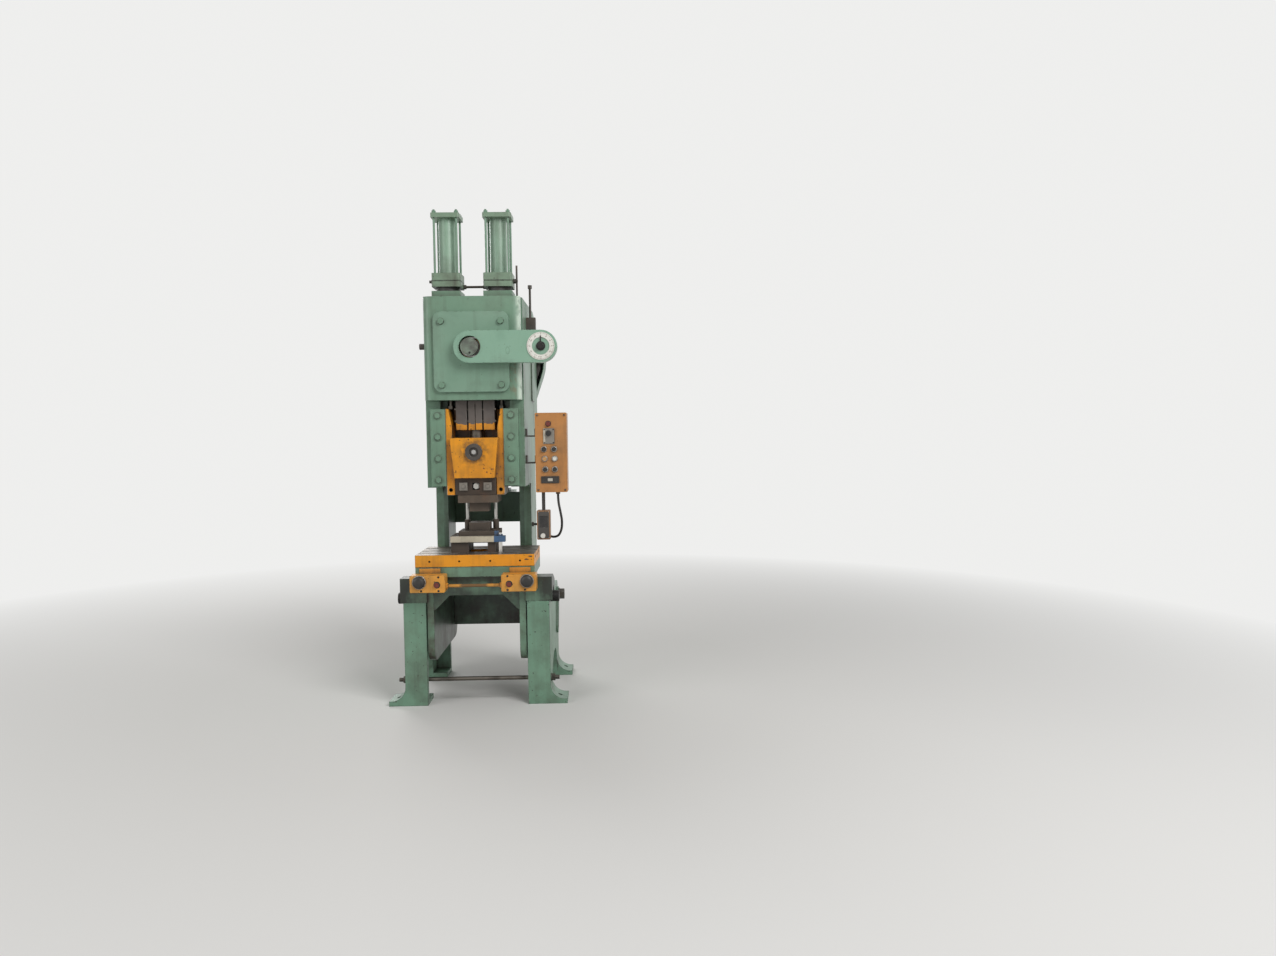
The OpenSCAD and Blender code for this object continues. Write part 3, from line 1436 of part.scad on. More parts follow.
module crankshaft() {
  pin_y0 = rod_y - rod_side_gap;
  pin_l = rod_t + 2 * rod_side_gap;
  shoulder_y = flywheel_y - 1;
  color(steel) {
    // Stub for the sprocket and end cap, front journal, cheeks and pin
    along_y(0, arm_y + 4, crank_z, crank_stub_d, cover_y - arm_y, 48);
    along_y(0, cover_y, crank_z, front_journal_d, pin_y0 - cheek_t - cover_y + 1, 64);
    along_y(0, pin_y0 - cheek_t, crank_z, cheek_d, cheek_t, 64);
    along_y(0, pin_y0 - 1, crank_z + throw, crank_pin_d, pin_l + 2, 64);
    along_y(0, pin_y0 + pin_l, crank_z, cheek_d, cheek_t, 64);
    // Counterweights on the side away from the pin
    for (y = [pin_y0 - cheek_t, pin_y0 + pin_l])
      xz_plate(y, cheek_t, concat(arc(0, crank_z, cheek_d / 2 + 24, 205, 335, 12),
        [[0, crank_z]]));
    along_y(0, pin_y0 + pin_l + cheek_t - 1, crank_z, shaft_d, shoulder_y - pin_y0 - pin_l - cheek_t + 1, 64);
    along_y(0, shoulder_y - 1, crank_z, flywheel_bore, flywheel_w + clutch_t + 30, 64);
    sprocket(0);
  }
}

module crank_end_cap() {
  color(iron) {
    along_y(0, arm_y - end_cap_h, crank_z, end_cap_d, end_cap_h + 4, 64);
    along_y(0, arm_y - end_cap_h - 2, crank_z, end_cap_d - 16, 3, 64);
  }
}

module clutch_disc() {
  y0 = flywheel_y + flywheel_w + 3;
  color(iron) difference() {
    union() {
      along_y(0, y0, crank_z, clutch_d, clutch_t, 64);
      along_y(0, y0 + clutch_t - 1, crank_z, flywheel_bore + 60, 21, 64);
    }
    along_y(0, y0 - cut, crank_z, flywheel_bore, clutch_t + 20 + 2 * cut, 64);
    for (i = [0 : 7]) translate([0, 0, crank_z]) rotate([0, i * 45, 0])
      along_y(0, y0 + clutch_t - 6, clutch_d * 0.38, 20, 6 + cut, 24);
  }
}

// Outline of the big end's bore: a circle drawn out sideways
function big_end_bore(extra = 0) =
  let (r = pin_r + even_error + big_end_gap + extra, half = pin_r + throw + big_end_gap + extra)
  concat(arc(half - r, big_end_z, r, -90, 90, 14), arc(r - half, big_end_z, r, 90, 270, 14));

module connecting_rod() {
  shank_top = big_end_z - rod_h2 + 6;
  foot_top = rod_foot_z + rod_foot_h;
  color(iron) difference() {
    union() {
      xz_plate(rod_y, rod_t, round_box(0, big_end_z, 2 * rod_w2, 2 * rod_h2, rod_corner_r, 6));
      // Shank widens towards the foot
      xz_plate(axis_y - rod_shank_d / 2, rod_shank_d, [
        [-rod_shank_w / 2, shank_top], [rod_shank_w / 2, shank_top],
        [rod_shank_w / 2 + 20, foot_top - 1], [-rod_shank_w / 2 - 20, foot_top - 1]]);
      // Clamped foot round the screw
      translate([-rod_foot_w2, axis_y - rod_foot_d / 2, rod_foot_z])
        cube([2 * rod_foot_w2, rod_foot_d, rod_foot_h]);
    }
    xz_plate(rod_y - cut, rod_t + 2 * cut, big_end_bore());
    // Bore of the adjusting screw
    translate([0, axis_y, rod_foot_z - cut])
      cylinder(d = screw_d + 2 * run_gap, h = screw_top() + adjust_h + 6 - rod_foot_z, $fn = 64);
    // Grooves in the foot's face; the right one goes through to the bore
    for (x = [-1, 1]) translate([x * foot_groove_x - foot_groove_w / 2,
      axis_y - rod_foot_d / 2 - cut, rod_foot_z - cut])
      cube([foot_groove_w, foot_groove_d + cut, rod_foot_h + 2 * cut]);
    translate([-slit_w / 2, axis_y - rod_foot_d / 2 - cut, rod_foot_z - cut])
      cube([slit_w, rod_foot_d / 2, rod_foot_h - 20]);
    // Holes of the clamping bolts and of the big end's bolts
    for (i = [0, 1]) along_x(-rod_foot_w2 - cut, axis_y - rod_foot_d / 2 + 9, foot_bolt_z(i), foot_bolt_d,
      2 * rod_foot_w2 + 2 * cut, 32);
    for (x = [-1, 1]) translate([x * rod_bolt_x, axis_y, big_end_z - rod_h2 - cut])
      cylinder(d = rod_bolt_d, h = 2 * rod_h2 + 2 * cut, $fn = 32);
  }
}

function foot_bolt_z(i) = rod_foot_z + rod_foot_h * (0.3 + 0.4 * i);
function screw_top() = rod_foot_z + screw_grip;

module rod_bolts() {
  color(steel) {
    for (x = [-1, 1]) translate([x * rod_bolt_x, axis_y, big_end_z - rod_h2]) {
      cylinder(d = rod_bolt_d, h = 2 * rod_h2 + 20, $fn = 32);
      translate([0, 0, 2 * rod_h2]) cylinder(d = rod_bolt_d * 1.8, h = 15, $fn = 6);
      translate([0, 0, -12]) cylinder(d = rod_bolt_d * 1.8, h = 12, $fn = 6);
    }
    for (i = [0, 1]) {
      y = axis_y - rod_foot_d / 2 + 9;
      along_x(-rod_foot_w2, y, foot_bolt_z(i), foot_bolt_d, 2 * rod_foot_w2, 32);
      for (x = [-rod_foot_w2 - 8, rod_foot_w2]) hex_x(x, y, foot_bolt_z(i), 16, 8);
    }
  }
}

// Screw with its ball and wheel; it turns in the slide and climbs in the rod
module adjusting_screw() {
  neck_z = wheel_z() + wheel_t;
  color(steel) translate([0, axis_y, 0]) {
    translate([0, 0, neck_z - 1]) cylinder(d = screw_d, h = screw_top() - neck_z + 1, $fn = 64);
    translate([0, 0, ball_z]) cylinder(d = neck_d, h = neck_z - ball_z, $fn = 48);
    translate([0, 0, ball_z]) rotate_extrude($fn = 64) polygon(
      concat([[0, -ball_d / 2]], arc(0, 0, ball_d / 2, -84, 84, 20), [[0, ball_d / 2]]));
    // Bevel wheel with its teeth cut into the cone
    difference() {
      rotate_extrude($fn = 64) polygon([
        [neck_d / 2 - 1, wheel_z()], [wheel_in_r(), wheel_cone(wheel_in_r())],
        [wheel_r, wheel_cone(wheel_r)], [wheel_r, neck_z], [neck_d / 2 - 1, neck_z]]);
      for (i = [0 : wheel_teeth - 1]) rotate([0, 0, i * 360 / wheel_teeth])
        translate([wheel_in_r() - 3, -1.6, wheel_cone(wheel_in_r()) - 6]) rotate([0, -bevel_lean(), 0])
          cube([wheel_r - wheel_in_r() + 12, 3.2, 10]);
    }
  }
}

function bevel_lean() = atan(1 / wheel_ratio);
function wheel_in_r() = wheel_r - bevel_l;
function wheel_cone(r) = adjust_z + r / wheel_ratio + bevel_gap;
function wheel_z() = wheel_cone(wheel_r) - 4;

module adjusting_shaft() {
  tip_y = axis_y - wheel_in_r();
  big_y = axis_y - wheel_r;
  color(steel) {
    translate([0, axis_y, adjust_z]) rotate([90, 0, 0]) difference() {
      rotate_extrude($fn = 48) polygon([
        [0, wheel_in_r()], [wheel_in_r() / wheel_ratio - bevel_gap, wheel_in_r()],
        [wheel_r / wheel_ratio - bevel_gap, wheel_r], [wheel_r / wheel_ratio - bevel_gap, wheel_r + 3],
        [0, wheel_r + 3]]);
      for (i = [0 : wheel_teeth / wheel_ratio - 1]) rotate([0, 0, (i + 0.5) * 360 * wheel_ratio / wheel_teeth])
        translate([wheel_in_r() / wheel_ratio - 2.5, -1.6, wheel_in_r() - 8])
          rotate([0, bevel_lean(), 0]) cube([8, 3.2, bevel_l + 24]);
    }
    along_y(0, box_y - flange_t + flange_recess_h + 1, adjust_z, adjust_d,
      big_y - box_y + flange_t - flange_recess_h - 1, 40);
    hex_y(0, box_y - flange_t + 2, adjust_z, adjust_af, flange_recess_h + 4);
  }
}

module shaft_flange() {
  y0 = box_y - flange_t;
  color(iron) difference() {
    union() {
      along_y(0, y0, adjust_z, flange_d, flange_t, 64);
      along_y(0, box_y - 1, adjust_z, pinion_bore_d, axis_y - wheel_r - 5 - box_y, 48);
    }
    along_y(0, y0 - cut, adjust_z, flange_recess_d, flange_recess_h + cut, 48);
    along_y(0, y0, adjust_z, adjust_d + 2 * run_gap, axis_y - y0, 40);
  }
}

module ball_seat() {
  color(bronze) translate([0, axis_y, ball_z]) {
    // Cup under the ball
    rotate_extrude($fn = 64) polygon(concat(
      arc(0, 0, ball_d / 2 + seat_gap, -90, -4, 14),
      [[cavity_d / 2, -4], [cavity_d / 2, -ball_d / 2 - seat_t], [0, -ball_d / 2 - seat_t]]));
    // Ring over the ball
    rotate_extrude($fn = 64) polygon(concat(
      arc(0, 0, ball_d / 2 + seat_gap, 2, seat_ring_angle, 8),
      [[cavity_d / 2, (ball_d / 2 + seat_gap) * sin(seat_ring_angle)], [cavity_d / 2, 2]]));
  }
}

module slide() {
  foot_w = slide_w2 - clamp_w2 - 3;
  color(yellow) difference() {
    union() {
      translate([-slide_w2, slide_y, slide_z])
        cube([2 * slide_w2, slide_back_y - slide_y, slide_top_z - slide_z]);
      // Tongues behind the gibs
      translate([-tongue_out, seat_y + way_gap, slide_z + 60])
        cube([2 * tongue_out, tongue_d - way_gap, slide_top_z - slide_z - 60]);
      // Tapered front box
      xz_plate(box_y, slide_y - box_y + 1, [
        [-box_bottom_w2, box_z], [box_bottom_w2, box_z], [box_top_w2, pocket_z], [-box_top_w2, pocket_z]]);
    }
    // Pocket for the connecting rod, open to the front and to the top
    xz_plate(slide_y - cut, pocket_back_y - slide_y + cut, [
      [-pocket_w2, pocket_z], [pocket_w2, pocket_z], [pocket_w2, (pocket_z + slide_top_z) / 2 - 20],
      [pocket_w2 + pocket_flare, slide_top_z + cut], [-pocket_w2 - pocket_flare, slide_top_z + cut],
      [-pocket_w2, (pocket_z + slide_top_z) / 2 - 20]]);
    // Room for the shank clamp
    translate([-slide_w2 + foot_w, slide_y - cut, slide_z - cut])
      cube([2 * slide_w2 - 2 * foot_w, axis_y - slide_y + cut, box_z - slide_z + cut]);
    translate([0, axis_y, slide_z - cut]) cylinder(d = shank_d, h = shank_h + cut, $fn = 48);
    // Cavity of the screw, and the bore of the adjusting shaft
    translate([0, axis_y, ball_z - ball_d / 2 - seat_t])
      cylinder(d = cavity_d, h = pocket_z - ball_z + ball_d / 2 + seat_t + cut, $fn = 64);
    along_y(0, box_y - cut, adjust_z, pinion_bore_d, axis_y - box_y, 48);
    // Holes in the feet beside the clamp, and of the clamp's studs
    for (x = [-1, 1]) along_y(x * (slide_w2 - foot_w / 2), slide_y - cut, slide_z + 30, foot_hole_d, 60, 32);
    for (x = [-1, 1]) along_y(x * clamp_stud_x, axis_y - cut, clamp_mid_z(), clamp_stud_d, 50, 32);
  }
}

function clamp_mid_z() = slide_z + (box_z - slide_z) / 2;

module shank_clamp() {
  h = box_z - slide_z - 2;
  color(iron) {
    difference() {
      translate([-clamp_w2, clamp_y, slide_z + 1]) cube([2 * clamp_w2, axis_y - clamp_y - clamp_gap, h]);
      translate([0, axis_y, slide_z - cut]) cylinder(d = shank_d, h = h + 3, $fn = 48);
      // Square pocket of the middle bolt
      translate([-clamp_window / 2, clamp_y - cut, clamp_mid_z() - clamp_window / 2])
        cube([clamp_window, 26 + cut, clamp_window]);
      for (x = [-1, 1]) along_y(x * clamp_stud_x, clamp_y - cut, clamp_mid_z(), clamp_stud_d + 1,
        axis_y - clamp_y + cut, 32);
    }
    // Middle bolt, and the studs with their square nuts
    hex_y(0, clamp_y + 8, clamp_mid_z(), clamp_stud_d * 1.5, 19);
    for (x = [-1, 1]) {
      along_y(x * clamp_stud_x, clamp_y - clamp_nut_t - 6, clamp_mid_z(), clamp_stud_d,
        axis_y + 48 - clamp_y + clamp_nut_t + 6, 32);
      difference() {
        translate([x * clamp_stud_x - clamp_nut_w / 2, clamp_y - clamp_nut_t, clamp_mid_z() - clamp_nut_w / 2])
          cube([clamp_nut_w, clamp_nut_t, clamp_nut_w]);
        along_y(x * clamp_stud_x, clamp_y - clamp_nut_t - cut, clamp_mid_z(), clamp_stud_d,
          clamp_nut_t + 2 * cut, 32);
      }
    }
  }
}

// Die set

// Strap bar, heel block and the post that carries it
module die_strap() {
  front = axis_y - die_d / 2 - strap_t;
  z1 = bolster_top_z + parallel_h;
  strap_r = die_right - 10;
  color([0.66, 0.62, 0.52]) {
    translate([die_x - die_left, front, z1 + 6]) cube([die_left + strap_r, strap_t, base_plate_t - 6]);
    translate([die_x + strap_r, front, z1 + 6]) difference() {
      cube([heel_w, heel_d, base_plate_t - 6]);
      translate([heel_w / 2 + 2, heel_d / 2, -cut]) cylinder(d = heel_bolt_d, h = base_plate_t, $fn = 32);
    }
    translate([die_x + strap_r + heel_w / 2 + 2, front + heel_d / 2, 0]) {
      translate([0, 0, bolster_top_z]) cylinder(d = heel_post_d, h = parallel_h + 6, $fn = 40);
      translate([0, 0, z1 + 5]) cylinder(d = heel_bolt_d, h = base_plate_t + 14, $fn = 32);
      translate([0, 0, z1 + base_plate_t]) cylinder(d = heel_bolt_d * 1.9, h = 10, $fn = 6);
    }
  }
}

module lower_die() {
  z1 = bolster_top_z + parallel_h;
  z2 = z1 + base_plate_t;
  z3 = z2 + lower_shoe_t;
  front = axis_y - die_d / 2;
  die_strap();
  color(iron) difference() {
    union() {
      // Parallels on the bolster
      translate([die_x - die_left, front, bolster_top_z]) cube([parallel_left_w, die_d, parallel_h]);
      translate([die_x + die_right - parallel_right_w - 4, front, bolster_top_z])
        cube([parallel_right_w, die_d, parallel_h]);
      // Base plate, shoe and die block
      translate([die_x - die_left, front, z1]) cube([die_left + die_right, die_d, base_plate_t]);
      translate([die_x - die_w / 2, front + 8, z2 - 0.5]) cube([die_w, die_d - 16, lower_shoe_t + 0.5]);
      translate([die_x - die_block_w / 2, axis_y - die_block_d / 2, z3 - 0.5])
        cube([die_block_w, die_block_d, lower_block_h + 0.5]);
      // Guide bushes
      for (x = [-post_x, post_x]) translate([die_x + x, axis_y + post_y, z3 - 0.5])
        cylinder(d = post_d + 2 * guide_wall, h = bush_h + 0.5, $fn = 40);
    }
    for (x = [-post_x, post_x]) translate([die_x + x, axis_y + post_y, z1 - cut])
      cylinder(d = post_d + 2 * run_gap, h = z3 + bush_h - z1 + 2 * cut, $fn = 40);
    translate([die_x, axis_y, z1 - cut])
      cylinder(d = die_hole_d, h = z3 + lower_block_h - z1 + 2 * cut, $fn = 40);
  }
}

module upper_die() {
  front = axis_y - die_d / 2 + 8;
  z = slide_z;
  color(iron) {
    translate([0, axis_y, z - 1]) cylinder(d = shank_d - 1, h = shank_h - 4, $fn = 48);
    difference() {
      translate([die_x - die_w / 2, front, z - upper_shoe_t]) cube([die_w, die_d - 16, upper_shoe_t]);
      for (x = [-post_x, post_x]) translate([die_x + x, axis_y + post_y, z - upper_shoe_t - cut])
        cylinder(d = post_d, h = upper_shoe_t + 2 * cut, $fn = 40);
    }
    translate([die_x - punch_w / 2, axis_y - punch_d / 2, z - upper_shoe_t - punch_h])
      cube([punch_w, punch_d, punch_h + 1]);
  }
}

module die_posts() {
  bottom = bolster_top_z + parallel_h + base_plate_t + lower_shoe_t + 8;
  color([0.80, 0.80, 0.78]) for (x = [-post_x, post_x])
    translate([die_x + x, axis_y + post_y, bottom]) cylinder(d = post_d, h = slide_z - bottom, $fn = 40);
}

// Controls

module control_box() {
  y = control_y + panel_t;
  color(tan_box) {
    difference() {
      xz_plate(y, control_d, round_box(control_mid_x, control_mid_z, control_w, control_h, 6, 3));
      xz_plate(y - cut, control_d - box_t + cut,
        round_box(control_mid_x, control_mid_z, control_w - 2 * box_t, control_h - 2 * box_t, 4, 3));
      translate([cable_x, cable_y, control_z - cut]) cylinder(d = cable_d, h = box_t + 2 * cut, $fn = 24);
    }
    // Gland of the cable
    difference() {
      translate([cable_x, cable_y, control_z - gland_l]) cylinder(d = cable_d + 12, h = gland_l, $fn = 32);
      translate([cable_x, cable_y, control_z - gland_l - cut]) cylinder(d = cable_d, h = gland_l + 2 * cut, $fn = 24);
    }
  }
}

// Places on the panel, from its middle: lamp, key switch, mode switch, buttons
lamp_at = [-15, 169];
key_at = [-14, 113];
mode_at = [-42, 20];
start_at = [20, -36];
stop_at = [20, -98];
// Fixed caps of the places without a switch
fixed_at = [[17, 20], [-36, -98], [-38, -36]];

module panel_hole(at, d) {
  along_y(control_mid_x + at[0], control_y - 8 - cut, control_mid_z + at[1], d, panel_t + 8 + 2 * cut, 32);
}

module panel_bezel(at, d) {
  along_y(control_mid_x + at[0], control_y - 4, control_mid_z + at[1], d, 5, 32);
}

module control_panel() {
  color(tan_box) difference() {
    union() {
      xz_plate(control_y, panel_t, round_box(control_mid_x, control_mid_z, control_w, control_h, 6, 3));
      // Raised plate round the key switch
      translate([control_mid_x - 44, control_y - 4, control_mid_z + 52]) cube([64, 5, 89]);
      for (at = concat([mode_at, start_at, stop_at], fixed_at)) panel_bezel(at, bezel_d);
      for (at = fixed_at) along_y(control_mid_x + at[0], control_y - 16, control_mid_z + at[1], push_d, 13, 32);
      // Frame of the counter
      translate([control_mid_x - 60, control_y - 5, control_mid_z - 178]) cube([103, 6, 39]);
      // Screws at the corners
      for (x = [-1, 1], z = [-1, 1]) along_y(control_mid_x + x * (control_w / 2 - 14), control_y - 3,
        control_mid_z + z * (control_h / 2 - 14), 11, 4, 24);
    }
    panel_hole(lamp_at, push_d + 2 * run_gap);
    panel_hole(key_at, push_d + 2 * run_gap);
    panel_hole(mode_at, push_d + 2 * run_gap);
    panel_hole(start_at, push_d + 2 * run_gap);
    panel_hole(stop_at, push_d + 2 * run_gap);
    // Window of the counter
    translate([control_mid_x - 50, control_y - 6, control_mid_z - 170]) cube([83, 4, 23]);
  }
}

module signal_lamp() {
  color([0.55, 0.10, 0.07]) {
    along_y(control_mid_x + lamp_at[0], control_y - 2, control_mid_z + lamp_at[1], push_d, 20, 32);
    along_y(control_mid_x + lamp_at[0], control_y - 14, control_mid_z + lamp_at[1], push_d + 4, 14 - 0.3, 32);
  }
}

module switch_handle(at, d) {
  x = control_mid_x + at[0];
  z = control_mid_z + at[1];
  color(black) {
    along_y(x, control_y - 14, z, push_d, 30, 32);
    along_y(x, control_y - 14, z, d, 8, 32);
    translate([x - 4, control_y - 26, z - d / 2 + 1]) cube([8, 13, d - 2]);
  }
}

module key_switch() {
  switch_handle(key_at, 34);
}

module mode_switch() {
  switch_handle(mode_at, 28);
}

module push_button(at, tint) {
  color(tint) {
    along_y(control_mid_x + at[0], control_y - 10 - push_travel, control_mid_z + at[1], push_d, 30, 32);
    along_y(control_mid_x + at[0], control_y - 14 - push_travel, control_mid_z + at[1], push_d - 3, 5, 32);
  }
}

module start_button() {
  push_button(start_at, [0.82, 0.80, 0.72]);
}

module stop_button() {
  push_button(stop_at, black);
}

module control_brackets() {
  color(iron) for (z = [control_mid_z + 113, control_mid_z - 45]) {
    translate([plate_out, bracket_y, z - 20]) cube([control_x - plate_out, 60, 8]);
    translate([plate_out, bracket_y, z - 20]) cube([8, 60, 48]);
    translate([control_x - 8, bracket_y, z - 20]) cube([8, 60, 48]);
  }
  // Gland where the cable enters the side plate
  end = cable_route[len(cable_route) - 1];
  color(iron) difference() {
    along_x(plate_out, end[1], end[2], cable_d + 14, plate_gland_l, 32);
    along_x(plate_out - cut, end[1], end[2], cable_d + 2, plate_gland_l + 2 * cut, 24);
  }
}

module switch_box() {
  y = control_y + 2;
  color([0.42, 0.42, 0.40]) {
    difference() {
      xz_plate(y, switch_dy, round_box(switch_x, switch_z + switch_h / 2, switch_w, switch_h, 6, 3));
      // Dark window and the knob's bore
      translate([switch_x - 24, y - cut, switch_z + switch_h * 0.42]) cube([48, 3 + cut, 66]);
      along_y(switch_x + knob_dx, y - cut, switch_z + knob_dz, knob_stem_d + 2 * run_gap, 20 + cut, 32);
    }
    // Pipe up to the control box
    translate([switch_x, y + switch_dy / 2, switch_z + switch_h - 1])
      cylinder(d = 20, h = control_z - switch_z - switch_h + 1, $fn = 32);
  }
}

module switch_knob() {
  y = control_y + 2;
  color([0.85, 0.85, 0.82]) {
    along_y(switch_x + knob_dx, y - 12, switch_z + knob_dz, knob_stem_d, 30, 32);
    along_y(switch_x + knob_dx, y - 14, switch_z + knob_dz, 28, 13, 32);
  }
}

// Cable from the control box to the frame

function spline_point(p, i, t) =
  let (a = p[max(i - 1, 0)], b = p[i], c = p[i + 1], d = p[min(i + 2, len(p) - 1)])
  0.5 * (2 * b + (c - a) * t + (2 * a - 5 * b + 4 * c - d) * t * t + (3 * b - 3 * c + d - a) * t * t * t);

function spline(p, n) = concat(
  [for (i = [0 : len(p) - 2], k = [0 : n - 1]) spline_point(p, i, k / n)], [p[len(p) - 1]]);

function unit(v) = v / norm(v);

function way(p, i) = unit(p[min(i + 1, len(p) - 1)] - p[max(i - 1, 0)]);

// Side direction of each ring, carried along the route without a twist
function sides(p, i, s) = i >= len(p) ? [] :
  let (w = way(p, i), t = unit(s - (s * w) * w)) concat([t], sides(p, i + 1, t));

module swept_tube(route, d, per_step, n) {
  p = spline(route, per_step);
  s = sides(p, 0, [0, 1, 0]);
  rings = [for (i = [0 : len(p) - 1], k = [0 : n - 1])
    let (u = s[i], v = cross(way(p, i), u), a = 360 * k / n)
    p[i] + d / 2 * (cos(a) * u + sin(a) * v)];
  last = (len(p) - 1) * n;
  polyhedron(rings, concat(
    [[for (k = [0 : n - 1]) k]],
    [for (i = [0 : len(p) - 2], k = [0 : n - 1])
      [i * n + k, (i + 1) * n + k, (i + 1) * n + (k + 1) % n, i * n + (k + 1) % n]],
    [[for (k = [0 : n - 1]) last + n - 1 - k]]));
}

module control_cable() {
  color(black) swept_tube(cable_route, cable_d - 0.6, 3, 10);
}

module button_boxes() {
  palm_x = station_x + 46;
  small_x = station_x - 54;
  color(yellow) both_sides() difference() {
    union() {
      xz_plate(station_y, station_d, round_box(station_x, station_z + station_h / 2, station_w, station_h, 8, 3));
      // Rim round the palm button, and the plate that hangs the box on the bed
      along_y(palm_x, station_y - 5, palm_z(), palm_d + 8, 6, 48);
      translate([station_x - 60, station_y + station_d - 1, station_z + 12])
        cube([120, bed_y - station_y - station_d + 1, bed_z - station_z - 20]);
    }
    along_y(palm_x, station_y - 6, palm_z(), palm_d + 2, 6, 48);
    along_y(palm_x, station_y - cut, palm_z(), palm_stem_d + 2 * run_gap, palm_bore + cut, 40);
    along_y(small_x, station_y - cut, small_z(), small_d + 2 * run_gap, palm_bore + cut, 32);
  }
}

function palm_z() = station_z + station_h * 0.61;
function small_z() = station_z + station_h * 0.45;

module button_conduit() {
  x0 = -station_x + station_w / 2;
  color(iron) {
    along_x(x0, station_y + station_d / 2, station_z + 32, conduit_d, -2 * x0, 32);
    both_sides() hex_x(-x0 - 12, station_y + station_d / 2, station_z + 32, conduit_d * 1.5, 12);
  }
}

module palm_button() {
  x = station_x + 46;
  color(black) {
    along_y(x, station_y - palm_travel - 2, palm_z(), palm_stem_d, palm_bore - 4, 40);
    translate([x, station_y - palm_travel - 1, palm_z()]) rotate([90, 0, 0])
      rotate_extrude($fn = 48) polygon([[0, 0], [palm_d / 2, 0], [palm_d / 2, 8],
        [palm_d / 2 - 4, 13], [palm_d / 2 - 14, 17], [0, 19]]);
  }
}

module palm_button_right() {
  palm_button();
}

module palm_button_left() {
  mirror([1, 0, 0]) palm_button();
}

module small_button() {
  x = station_x - 54;
  color([0.45, 0.12, 0.08]) {
    along_y(x, station_y - 8, small_z(), small_d, palm_bore - 2, 32);
    along_y(x, station_y - 16, small_z(), small_d + 8, 9, 32);
  }
}

module small_button_right() {
  small_button();
}

module small_button_left() {
  mirror([1, 0, 0]) small_button();
}

leg_left();
leg_right();
tie_rod();
side_plates();
crown();
bed();
pivot_pins();
clamp_bolts();
front_cover();
cover_bolts();
main_bushes();
gibs();
gib_bolts();
bolster();
arm_case();
dial_ring();
timing_chain();
balancer_caps();
balancer_tubes();
balancer_tie_rods();
air_pipe();
motor_bracket();
motor();
drive_belts();
belt_guard();
control_box();
control_panel();
signal_lamp();
control_brackets();
switch_box();
switch_knob();
control_cable();
button_boxes();
button_conduit();
palm_button_left();
palm_button_right();
small_button_left();
small_button_right();
lower_die();
die_posts();
upper_die();
crankshaft();
crank_end_cap();
clutch_disc();
flywheel();
motor_pulley();
dial_pointer();
connecting_rod();
rod_bolts();
slide();
shank_clamp();
shaft_flange();
ball_seat();
balancer_rods();
adjusting_screw();
adjusting_shaft();
key_switch();
mode_switch();
start_button();
stop_button();
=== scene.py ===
# %% [markdown]
# A mechanical stamping press, dressed for its portrait.
# The castings, shafts, dies and buttons are already built to size and stand in one shared frame.
# This notebook gives them their paint, oil, bare steel and wear, and adds the small things that a
# press carries: screws, bezels, washers, dial marks, a lifting eye and the cable.

# %% Load the press
import json
import math
import random

import bmesh
import bpy
from mathutils import Matrix, Vector


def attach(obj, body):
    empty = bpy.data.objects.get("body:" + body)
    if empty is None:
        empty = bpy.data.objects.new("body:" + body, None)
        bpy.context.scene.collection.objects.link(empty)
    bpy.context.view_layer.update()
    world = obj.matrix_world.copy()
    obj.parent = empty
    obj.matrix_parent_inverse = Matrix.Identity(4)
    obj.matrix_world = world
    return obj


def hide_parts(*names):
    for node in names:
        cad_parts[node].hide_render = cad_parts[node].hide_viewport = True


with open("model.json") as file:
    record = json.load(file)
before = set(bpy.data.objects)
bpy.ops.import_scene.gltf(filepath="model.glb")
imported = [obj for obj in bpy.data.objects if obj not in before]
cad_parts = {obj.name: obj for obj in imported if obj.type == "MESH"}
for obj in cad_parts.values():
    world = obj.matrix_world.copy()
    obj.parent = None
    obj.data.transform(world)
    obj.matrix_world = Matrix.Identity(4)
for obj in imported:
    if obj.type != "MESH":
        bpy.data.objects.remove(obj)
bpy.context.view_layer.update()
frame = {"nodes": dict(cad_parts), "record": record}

slot_of = {part["node"]: part["material_slot"] for part in frame["record"]["subparts"]}

# %% [markdown]
# The portrait was taken from standing height, a little to the right of the press. The camera is
# described the way a photographer would: where it stands, where it points, how far it leans, and
# how long its lens is. Blender wants the same facts as a matrix whose columns are right, up and
# back.

# %% Camera
CAMERA_PLACE = Vector((0.81, -5.85, 1.60))
CAMERA_YAW = math.radians(1.37)
CAMERA_PITCH = math.radians(-3.1)
CAMERA_ROLL = math.radians(-0.70)
FOCAL_PIXELS = 950.0
PHOTO_WIDTH = 1276
SENSOR_WIDTH = 36.0
FARTHEST_SEEN = 60.0


def put_in_scene(name, data):
    """A new object at the origin that shows a mesh, a lamp or a camera."""
    piece = bpy.data.objects.new(name, data)
    bpy.context.scene.collection.objects.link(piece)
    return piece


forward = Vector((math.sin(CAMERA_YAW) * math.cos(CAMERA_PITCH),
                  math.cos(CAMERA_YAW) * math.cos(CAMERA_PITCH),
                  math.sin(CAMERA_PITCH)))
level = Vector((math.cos(CAMERA_YAW), -math.sin(CAMERA_YAW), 0.0))
above = level.cross(forward)
right = level * math.cos(CAMERA_ROLL) + above * math.sin(CAMERA_ROLL)
up = above * math.cos(CAMERA_ROLL) - level * math.sin(CAMERA_ROLL)

lens = bpy.data.cameras.new("portrait")
lens.sensor_width = SENSOR_WIDTH
lens.lens = FOCAL_PIXELS * SENSOR_WIDTH / PHOTO_WIDTH
lens.clip_end = FARTHEST_SEEN
camera = put_in_scene("portrait", lens)
turned = Matrix((right, up, -forward)).transposed().to_4x4()
camera.matrix_world = Matrix.Translation(CAMERA_PLACE) @ turned
bpy.context.scene.camera = camera
bpy.context.scene.view_settings.view_transform = "Standard"
print("lens:", round(lens.lens, 2), "mm")

